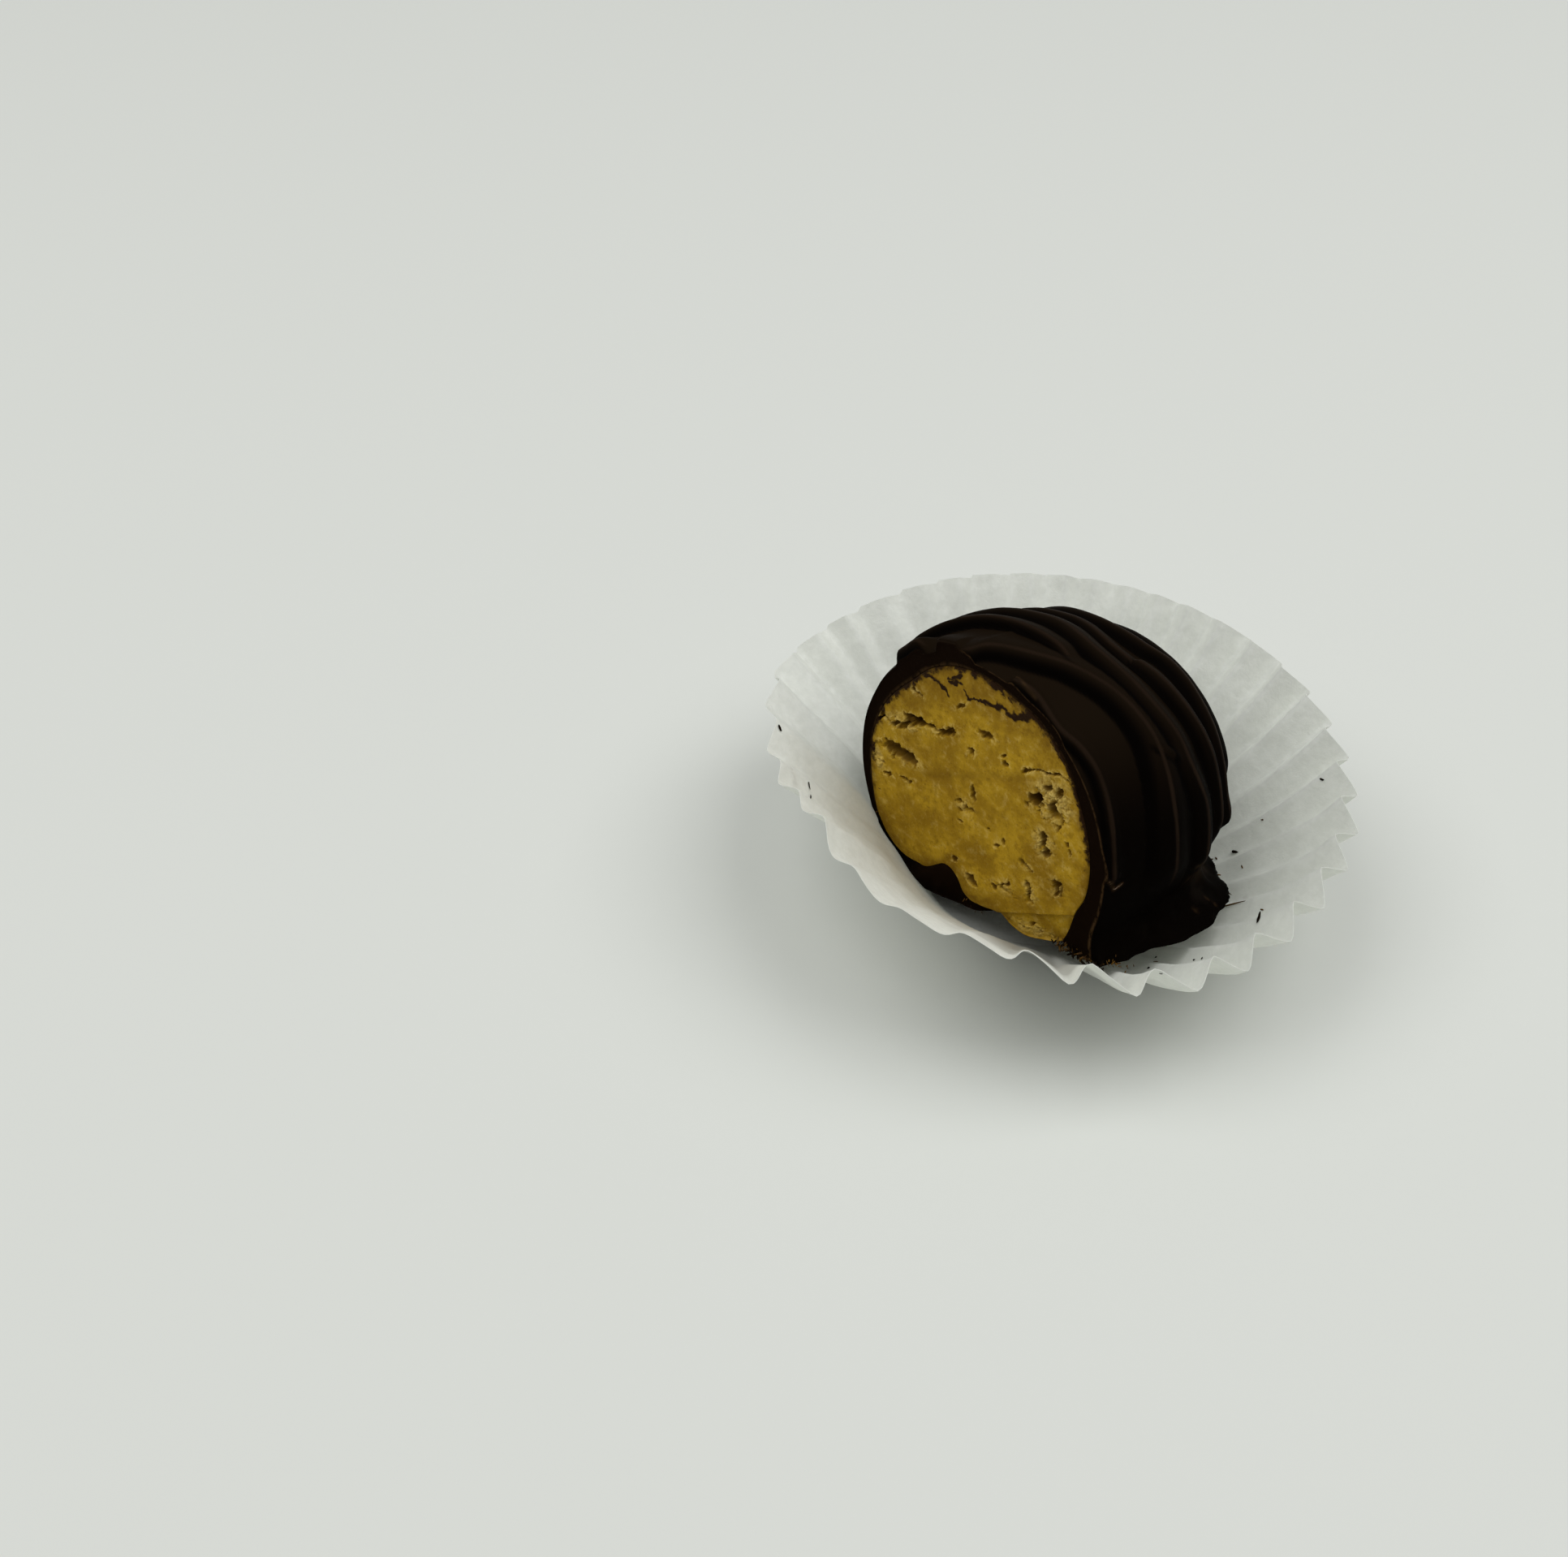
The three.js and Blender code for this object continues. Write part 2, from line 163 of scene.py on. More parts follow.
# Pits: place right and up from the ball's middle, half length and width, depth, turn in degrees
PITS = [
    ((-7.8, 7.55), (1.35, 0.5), 1.5, 3), ((-10.3, 3.3), (2.0, 0.8), 1.1, -10),
    ((-3.4, 7.5), (1.2, 0.38), 0.8, 25), ((1.95, 8.88), (1.0, 0.3), 0.6, 0),
    ((-0.2, 6.4), (0.5, 0.38), 0.5, 20), ((4.3, 6.5), (0.42, 0.32), 0.5, 40),
    ((4.0, 7.25), (0.4, 0.25), 0.4, 60), ((-1.1, 10.95), (0.8, 0.22), 0.4, 32),
    ((-12.4, 0.3), (0.6, 0.25), 0.4, 10), ((-9.6, 0.5), (0.8, 0.25), 0.4, 5),
    ((-0.48, 2.0), (0.75, 0.28), 0.6, 90), ((7.85, 4.0), (0.8, 0.65), 1.3, 40),
    ((10.0, 3.6), (0.6, 0.4), 0.8, 60), ((11.1, 5.8), (0.5, 0.35), 0.6, 20),
    ((9.5, 5.6), (0.5, 0.3), 0.6, 10), ((8.45, 0.4), (0.55, 0.45), 0.9, 80),
    ((8.4, -0.6), (0.5, 0.35), 0.7, 20), ((8.65, -1.5), (0.6, 0.3), 0.6, 10),
    ((5.95, -3.75), (0.55, 0.2), 0.6, -25), ((6.05, -6.5), (0.9, 0.3), 0.7, 90),
    ((9.65, -4.8), (0.8, 0.38), 0.9, 85), ((11.4, 0.5), (0.35, 0.25), 0.4, 30),
    ((11.8, -0.3), (0.35, 0.2), 0.4, 80), ((2.2, -2.8), (0.4, 0.25), 0.4, 50),
    ((3.1, -2.1), (0.4, 0.2), 0.3, 70), ((1.2, -1.5), (0.2, 0.18), 0.5, 0),
    ((-2.5, -1.7), (0.3, 0.2), 0.3, 0), ((-1.8, -7.9), (0.8, 0.4), 0.7, -25),
    ((1.35, -7.75), (0.42, 0.4), 0.9, 0), ((-3.7, -6.3), (0.4, 0.25), 0.4, 30),
]
# Cracks and tears: half width, depth and the points that they run through
CRACKS = [
    (0.22, 0.7, [(-12.9, 6.35), (-11.9, 6.7), (-10.8, 6.2), (-9.1, 7.05), (-6.1, 7.65), (-4.6, 7.3),
                 (-2.4, 8.1)]),
    (0.14, 0.4, [(-7.5, 11.0), (-6.9, 10.6), (-6.3, 10.4)]),
    (0.16, 0.5, [(6.4, 6.3), (7.5, 6.9), (8.7, 7.25), (10.2, 7.3), (11.2, 7.55), (12.1, 7.15)]),
    (0.14, 0.4, [(1.9, -7.35), (2.6, -6.7), (3.4, -6.4)]),
]
# Chocolate that the knife dragged into the filling: half width and the points that it runs through
STREAKS = [
    (0.2, [(-5.6, 13.0), (-4.7, 13.0), (-4.0, 12.85), (-3.1, 12.2), (-2.65, 11.5)]),
    (0.16, [(-2.4, 13.5), (-0.7, 14.1), (-2.2, 13.1), (-0.7, 13.35)]),
    (0.14, [(-0.5, 12.7), (0.1, 12.0), (1.6, 12.4), (2.9, 12.1)]),
    (0.26, [(2.6, 12.25), (3.6, 12.2), (4.8, 12.4)]),
    (0.38, [(5.1, 11.9), (6.0, 11.85), (6.8, 12.1), (8.3, 12.7)]),
    (0.26, [(8.3, 12.7), (9.0, 12.2), (9.6, 11.7)]),
]
# Pale crumbly patches: place, half width and height, and how strong
PALE_PATCHES = [
    ((9.9, 4.4), (3.3, 3.2), 1.0), ((8.4, -0.6), (1.5, 2.4), 0.9), ((6.2, -6.6), (1.1, 1.7), 0.8),
    ((9.7, -4.8), (1.2, 1.5), 0.7), ((-1.7, 0.0), (1.5, 1.2), 0.7), ((-9.6, 6.7), (3.4, 1.0), 0.8),
    ((-13.5, 1.5), (0.9, 1.5), 0.9), ((2.4, -7.3), (2.0, 1.0), 0.6), ((5.6, -10.9), (3.8, 0.9), 0.6),
    ((-10.6, 3.0), (2.6, 1.1), 0.4), ((5.9, -3.6), (1.0, 0.8), 0.6), ((-2.0, -7.6), (1.4, 0.8), 0.5),
]
# Lines that the knife left: start, end, half width, strength
KNIFE_LINES = [
    ((-7.2, 1.7), (6.4, 5.75), 1.0, 0.55), ((-5.5, 1.2), (-6.7, -4.2), 0.4, 0.35),
    ((-6.6, 0.5), (-7.2, -3.0), 0.3, 0.25), ((4.6, 10.0), (4.4, 7.3), 0.4, 0.3),
    ((0.6, -1.0), (0.1, -6.0), 0.5, 0.2),
]

# Paper case
PLEAT_STEPS = 12
WALL_ROWS = 56
BASE_RINGS = (0.3, 0.6, 0.85, 0.97)
PLEAT_GROWTH = 1.2  # power by which the pleats deepen up the wall
PLEAT_SHARP, PLEAT_SOFT = 0.96, 0.6  # 1 is a sharp fold, 0 a sine wave
RIM_ROW = 0.999  # the last row of the wall, which keeps the rim's edge crisp
# Stretches where the wall leans, about Z: how many degrees steeper it stands, and its added curl
LEANS = [
    stretch(335, 32, rise=-12.5, curl=-14), stretch(25, 42, rise=-11, curl=-19),
    stretch(195, 18, rise=-10, curl=0), stretch(228, 20, rise=-0.5, curl=0), stretch(258, 10, rise=3, curl=0),
    stretch(278, 26, rise=-2.5, curl=0), stretch(293, 16, rise=-1.8, curl=0),
]
KNEE = stretch(302, 24, up=0.7, bend=math.radians(2))  # the wall turns out here
OPENED = stretch(280, 40, growth=1.4)  # the pleats are pulled open below the rim here
TEETH = stretch(178, 42, share=0.016)  # the rim has saw teeth here
SHORT = stretch(120, 42, share=0.02)  # the wall is shorter here
PAINTED_SHADOW_STRETCH = stretch(312, 17, up=(0.76, 0.88))  # painted shadow on the front wall, up to this share of the wall
# Depth of the pleats: degrees about Z and shares
PLEAT_DEPTHS = [
    (0, 1.1), (40, 1.1), (75, 0.95), (105, 0.6), (150, 0.4), (180, 0.5), (200, 0.7), (212, 0.75),
    (232, 0.6), (246, 0.45), (262, 0.5), (276, 0.4), (286, 0.22), (296, 0.28), (303, 0.4), (313, 0.64),
    (322, 1.0), (345, 1.05),
]
# How far their inner folds lean to one side: degrees about Z and shares of a pleat
FOLD_SKEWS = [(0, 0.0), (100, 0.0), (180, 0.0), (270, -0.05), (295, -0.2), (322, -0.22), (335, -0.08)]
SPREAD = 0.23  # the pleats are pulled apart at one side, by this share, and closer at the other
SPREAD_AT = math.radians(282)
# The paper's dents, as layers of noise
CRUMPLES = ((5.0, 0.2, 3.0), (1.8, 0.06, 3.0))
# How far the folds have shifted: degrees round the even pleats, and shares of a pleat
FOLD_SHIFTS = [
    (0, -0.35), (50, -0.3), (70, -0.1), (90, 0.2), (140, 0.2), (190, 0.1), (200, -0.15), (212, -0.45),
    (226, -0.45), (240, 0.2), (262, 0.0), (280, 0.2), (290, 0.33), (303, 0.33), (312, 0.2), (322, 0.07),
    (332, 0.0), (342, -0.18), (352, -0.32),
]

FLECK_LIFT = 0.12  # how far a fleck's middle stands off the paper
# Pixels of the photograph where flecks of chocolate lie on the paper, with length and width in pixels, and
# turn in degrees
FLECKS = [
    (1522, 1050, 8, 4, 25), (1552, 1131, 14, 5, 130), (1629, 960, 6, 3, 10), (1416, 1193, 5, 3, 40),
    (1425, 1180, 4, 2, 0), (1431, 1198, 7, 2, 120), (1472, 1183, 4, 2, 20), (1482, 1181, 4, 2, 160),
    (1489, 1070, 4, 3, 0), (960, 897, 9, 3, 60), (996, 968, 10, 2, 75), (998, 982, 6, 2, 95),
]
# The same for brown shreds
SHREDS = [
    (1518, 1115, 38, 2.5, 28), (1511, 1099, 20, 2.5, 38), (1424, 1186, 8, 2, 150), (1493, 1059, 5, 2, 0),
    (1499, 1058, 5, 2, 60), (1502, 1078, 6, 2, 20), (1531, 1068, 5, 2, 70), (1556, 1121, 6, 2, 30),
    (1556, 1010, 4, 2, 0),
]
# Bloom and glints on the chocolate: pixels at their ends, half width in millimetres, strength. The pale haze
# on the foot is bloom; the glints on the foot, the drizzle's tip and the chip at its end are painted
# highlights.
BLOOM_AND_GLINTS = [
    ((1466, 1081), (1482, 1067), 0.8, 0.15), ((1476, 1068), (1482, 1064), 0.3, 0.4),
    ((1471, 1120), (1475, 1122), 0.15, 0.4), ((1486, 1106), (1489, 1108), 0.14, 0.4),
    ((1496, 1112), (1498, 1115), 0.14, 0.4), ((1367, 1086), (1373, 1096), 0.14, 1.0),
    ((1373, 1096), (1382, 1089), 0.14, 1.0), ((1253, 834), (1262, 843), 0.15, 0.6),
    ((1262, 843), (1276, 860), 0.15, 0.4),
]
# Smears of chocolate and grease on the paper, in the same way
SMEARS = [
    ((1506, 1106), (1552, 1078), 0.5, 0.15), ((1503, 1123), (1536, 1106), 0.55, 0.25),
    ((1500, 1090), (1560, 1040), 1.6, 0.08), ((976, 948), (980, 968), 0.5, 0.25),
    ((1062, 1062), (1100, 1105), 1.0, 0.1), ((1180, 1120), (1215, 1145), 0.6, 0.2),
    ((1370, 1200), (1420, 1192), 0.7, 0.2),
]
# Rows of crumbs: kind, start and end in the candy's axes, number, stray, least and greatest radius
CRUMB_ROWS = [
    ("filling", (9.3, -6.95, -10.9), (14.6, -6.95, -11.2), 46, 0.25, 0.09, 0.24),
    ("filling", (15.0, -6.4, -11.1), (17.0, -5.2, -11.3), 16, 0.3, 0.07, 0.2),
    ("chocolate", (9.0, -7.0, -11.0), (15.2, -6.9, -11.3), 70, 0.25, 0.1, 0.28),
    ("filling", (-9.0, -7.0, -9.6), (3.0, -7.2, -11.4), 8, 0.3, 0.06, 0.14),
    ("filling", (-13.9, -7.0, -5.0), (-13.5, -7.0, 4.5), 8, 0.3, 0.06, 0.13),
]


def length_setting(name, description, millimetres):
    """A length, kept in metres."""
    return FloatProperty(name=name, description=description, default=millimetres * MM, unit="LENGTH")


def angle_setting(name, description, degrees):
    """An angle, kept in radians."""
    return FloatProperty(name=name, description=description, default=math.radians(degrees), subtype="ANGLE")


def place_setting(name, description, metres):
    """A place, in metres."""
    return FloatVectorProperty(
        name=name, description=description, default=metres, subtype="TRANSLATION", unit="LENGTH")


def colour_setting(name, description, colour):
    """A colour."""
    return FloatVectorProperty(name=name, description=description, default=colour, subtype="COLOR")


def power_setting(name, description, watts):
    """A lamp's power, in watts."""
    return FloatProperty(name=name, description=description, default=watts, unit="POWER")


class CaseSizes(bpy.types.PropertyGroup):
    """Sizes of the paper case."""

    base_radius: length_setting("Base radius", "Radius of the flat bottom", 11.5)
    wall_length: length_setting("Wall length", "Length of the wall from bottom to rim", 23.2)
    paper: length_setting("Paper", "Thickness of the paper", 0.045)
    lift: length_setting("Lift", "Middle of the paper above the case's outer face at the rim", 0.2)
    pleats: IntProperty(name="Pleats", description="Number of pleats round the wall", default=36)
    pleat_half: length_setting("Half pleat", "Half the depth of the pleats at the rim", 1.0)
    flare: angle_setting("Flare", "Mean slope of the wall", 49.5)
    curl: angle_setting("Curl", "How much the slope eases from bottom to rim", 4)


class CandySizes(bpy.types.PropertyGroup):
    """Sizes and place of the candy."""

    centre: place_setting("Centre", "Middle of the ball", (1.9 * MM, -4.25 * MM, 14.5 * MM))
    tip_back: angle_setting("Tip back", "How far the cut leans back", 4.2)
    roll: angle_setting("Roll", "How far the right side rides up", 14.5)
    ball_radius: length_setting("Ball radius", "Radius of the dipped ball", 17.4)
    back_stretch: length_setting("Back stretch", "Extra reach straight back", 1.8)
    sag: length_setting("Sag", "How far the ball has sunk behind the cut", 1.5)
    tuck: length_setting("Tuck", "How far its left side draws in", 0.9)
    cut_depth: length_setting("Cut", "From the ball's middle forward to the cut", 6.84)
    base_drop: length_setting("Base", "From the ball's middle down to its flat base", 11.4)
    foot_drop: length_setting("Foot start", "From the ball's middle down to where the foot flares", 7.0)
    foot_mean: length_setting("Foot", "Mean reach of the foot", 1.0)
    foot_lean: length_setting("Foot to the side", "Added reach on the foot's widest side", 3.0)
    foot_lump: length_setting("Foot lump", "Reach of the lump on that side", 1.3)


class Finishes(bpy.types.PropertyGroup):
    """Colours of the surfaces."""

    chocolate: colour_setting("Chocolate", "Dark chocolate", (0.009, 0.0056, 0.003))
    # Painted shade: the colour of the chocolate low down and on the drizzle's steep flanks
    chocolate_painted_shade: colour_setting(
        "Thick chocolate", "Chocolate low down and on the drizzle's steep sides", (0.0014, 0.001, 0.0008))
    # Painted highlight along the crests of the drizzle
    chocolate_crest_highlight: colour_setting("Crest", "Chocolate on the crests of the drizzle", (0.015, 0.009, 0.0055))
    chocolate_cut: colour_setting(
        "Cut chocolate", "Chocolate where the knife went through it", (0.0062, 0.003, 0.0015))
    chocolate_bloom: colour_setting("Bloom", "Pale haze on set chocolate", (0.022, 0.017, 0.012))
    # Paler chocolate of the knife's edge, partly a painted highlight; also the tan of bloom and of painted
    # glints
    chocolate_edge_and_highlight: colour_setting("Knife edge", "Thin bright edge that the knife left", (0.05, 0.028, 0.012))
    # Painted highlight: a chip of chocolate that catches the light
    chocolate_glint: colour_setting("Glint", "A chip of chocolate that catches the light", (0.2, 0.15, 0.115))
    filling: colour_setting("Filling", "Peanut filling", (0.48, 0.287, 0.0155))
    filling_dark: colour_setting("Oily filling", "Filling where it is dense and oily", (0.3, 0.166, 0.008))
    filling_pale: colour_setting("Crumb", "Dry crumbs of the filling", (0.76, 0.56, 0.16))
    filling_smear: colour_setting("Smear", "Filling with chocolate dragged into it", (0.02, 0.008, 0.002))
    # Brown of the pits and knife lines, also used for painted shade in the pits and towards the face's top
    # and edge
    filling_brown: colour_setting("Pit", "Sides of the filling's pits", (0.13, 0.063, 0.005))
    # Darkest in the deepest pits, partly painted shade; also the dark tone of the crumbs
    filling_deep: colour_setting("Hole", "Bottom of its deepest pits", (0.05, 0.02, 0.002))
    paper: colour_setting("Paper", "White paper", (0.96, 0.975, 0.93))
    paper_through: colour_setting(
        "Light through paper", "Light that comes through the paper", (0.92, 0.935, 0.88))
    # Painted shadow on the front wall
    paper_painted_shadow: colour_setting("Soaked paper", "Paper that grease has soaked", (0.5, 0.51, 0.46))
    stain: colour_setting("Stain", "Chocolate smeared on the paper", (0.16, 0.09, 0.05))


class StageSettings(bpy.types.PropertyGroup):
    """Camera, floor and light."""

    camera_place: place_setting("Camera", "Place of the camera", (0.11458, -0.13471, 0.1638))
    camera_turn: FloatVectorProperty(
        name="Camera turn", description="Turn of the camera",
        default=(math.radians(49), 0.0, math.radians(48.67)), subtype="EULER")
    floor: colour_setting("Floor", "Pale floor", (0.695, 0.715, 0.675))
    right_power: power_setting("Right light", "Power of the light at the right", 3.75)
    left_power: power_setting("Left light", "Power of the light at the left", 3.1)
    sky: colour_setting("Sky", "Light from all round", (1.0, 1.0, 1.0))
    sky_strength: FloatProperty(name="Sky strength", description="Strength of that light", default=0.37)


class BuckeyeSettings(bpy.types.PropertyGroup):
    """All settings of the candy and its stage."""

    case: PointerProperty(type=CaseSizes)
    candy: PointerProperty(type=CandySizes)
    finishes: PointerProperty(type=Finishes)
    stage: PointerProperty(type=StageSettings)


# Curves and noise


def smoothstep(value, low, high):
    """0 at low, 1 at high, with an even start and end."""
    share = np.clip((value - low) / (high - low), 0.0, 1.0)
    return share * share * (3.0 - 2.0 * share)


def turn_between(turn, at):
    """Shortest turn from at to turn."""
    return np.arctan2(np.sin(turn - at), np.cos(turn - at))


def nearness(turn, place, power=2):
    """1 in the middle of a stretch and 0 far from it. A higher power gives it steeper ends."""
    return np.exp(-(turn_between(turn, place["at"]) / place["spread"]) ** power)


def curve_through(points, where):
    """Smooth curve through points of (place, value), read at the places in where."""
    place, value = np.array(points, float).T
    slope = np.empty_like(value)
    slope[1:-1] = (value[2:] - value[:-2]) / (place[2:] - place[:-2])
    slope[0] = (value[1] - value[0]) / (place[1] - place[0])
    slope[-1] = (value[-1] - value[-2]) / (place[-1] - place[-2])
    first = np.clip(np.searchsorted(place, where, side="left") - 1, 0, len(place) - 2)
    span = place[first + 1] - place[first]
    share = np.clip((where - place[first]) / span, 0.0, 1.0)
    rise = value[first] * (1 + 2 * share) * (1 - share) ** 2
    rise = rise + value[first + 1] * share ** 2 * (3 - 2 * share)
    lean = slope[first] * (1 - share) - slope[first + 1] * share
    return rise + span * share * (1 - share) * lean


def curve_round(points, degrees):
    """The same round a full turn."""
    before = [(place - 360, value) for place, value in points[-2:]]
    after = [(place + 360, value) for place, value in points[:2]]
    return curve_through(before + points + after, degrees)


def noise_at(points, size, seed=0.0):
    """Smooth noise, about -1 to 1, with bumps of that size."""
    shift = Vector((seed, -seed, 0.5 * seed))
    return np.array([noise.noise(Vector(point) / size + shift) for point in points])


def layers_at(points, layers):
    """Sum of layers of noise."""
    return sum(height * noise_at(points, size, seed) for size, height, seed in layers)


def grains_at(points, size, seed=0.0):
    """Grains of that size: how domed each place is, 0 in the creases, and each grain's own chance."""
    shift = Vector((seed, -seed, 0.5 * seed))
    domed = np.empty(len(points))
    chance = np.empty(len(points))
    for index, point in enumerate(points):
        away, middles = noise.voronoi(Vector(point) / size + shift)
        domed[index] = min(away[1] - away[0], 1.0)
        chance[index] = abs(math.sin(91.7 * middles[0].x + 47.3 * middles[0].y + 63.1 * middles[0].z))
    return domed, chance


def line_distance(across, up, points):
    """Distance from each place to a line through points."""
    nearest = np.full(len(across), 1e9)
    for start, end in zip(points, points[1:]):
        run = np.subtract(end, start)
        share = ((across - start[0]) * run[0] + (up - start[1]) * run[1]) / (run @ run)
        share = np.clip(share, 0.0, 1.0)
        away = np.hypot(across - start[0] - share * run[0], up - start[1] - share * run[1])
        nearest = np.minimum(nearest, away)
    return nearest


# Shape of the case


class CaseShape:
    """The case's wall as a function of the turn about Z and the share of the way up."""

    def __init__(self, sizes):
        self.base_radius = sizes.base_radius / MM
        self.wall_length = sizes.wall_length / MM
        self.paper = sizes.paper / MM
        self.lift = sizes.lift / MM
        self.pleats = sizes.pleats
        self.pleat_half = sizes.pleat_half / MM
        self.flare = sizes.flare
        self.curl = sizes.curl
        draw = random.Random(7)
        folds = 2 * self.pleats
        self.fold_depth = np.array([draw.uniform(1.02, 1.3) for _ in range(folds)])
        self.fold_drift = np.array([draw.uniform(-0.06, 0.06) for _ in range(folds)])

    def by_fold(self, values, even_turn):
        """Values given at each fold, read between folds."""
        place = (even_turn / (2 * math.pi) * len(values)) % len(values)
        first = np.floor(place).astype(int) % len(values)
        share = place - np.floor(place)
        return values[first] * (1 - share) + values[(first + 1) % len(values)] * share

    def lean(self, turn):
        """Slope and curl of the wall at a turn about Z."""
        slope = np.full_like(turn, self.flare)
        curl = np.full_like(turn, self.curl)
        for place in LEANS:
            share = nearness(turn, place)
            slope += math.radians(place["rise"]) * share
            curl += math.radians(place["curl"]) * share
        return slope, curl

    def wall(self, even_turn, up, dent):
        """Points of the paper's middle. Dent is how far each is pushed in from the pleated wall."""
        pitch = 2 * math.pi / self.pleats
        shift = curve_round(FOLD_SHIFTS, np.degrees(even_turn) % 360)
        shift = shift + self.by_fold(self.fold_drift, even_turn)
        turn = even_turn + SPREAD * np.sin(even_turn - SPREAD_AT) + shift * pitch
        place = np.degrees(turn) % 360
        inner = 0.5 - 0.5 * np.cos(even_turn * self.pleats)
        turn = turn + pitch * curve_round(FOLD_SKEWS, place) * inner
        slope, curl = self.lean(turn)
        opened = nearness(turn, OPENED)
        sharp = PLEAT_SHARP - (PLEAT_SHARP - PLEAT_SOFT) * opened
        wave = np.arcsin(sharp * np.cos(even_turn * self.pleats)) / np.arcsin(sharp)
        depth = self.pleat_half * self.by_fold(self.fold_depth, even_turn)
        depth = depth * curve_round(PLEAT_DEPTHS, place) * up ** (PLEAT_GROWTH + OPENED["growth"] * opened)
        knee = KNEE["bend"] * nearness(turn, KNEE)
        past = np.maximum(up - KNEE["up"], 0.0)
        knee = knee * np.minimum(1.0, KNEE["up"] * (1 - past / (1 - KNEE["up"])) / np.maximum(up, 0.01))
        teeth = TEETH["share"] * nearness(turn, TEETH, 4)
        tooth = (even_turn / pitch) % 1.0 - 0.5
        here = slope + curl * (1 - 2 * up)
        chord = slope + curl * (1 - up) + knee
        short = SHORT["share"] * nearness(turn, SHORT)
        run = self.wall_length * up * (1 + teeth * tooth - short)
        out = self.paper / 2 + (self.lift - self.paper / 2) * up - wave * depth + dent
        radius = self.base_radius + run * np.cos(chord) - out * np.sin(here)
        height = run * np.sin(chord) + out * np.cos(here)
        return np.stack([radius * np.cos(turn), radius * np.sin(turn), height], 1)


# Shape of the candy


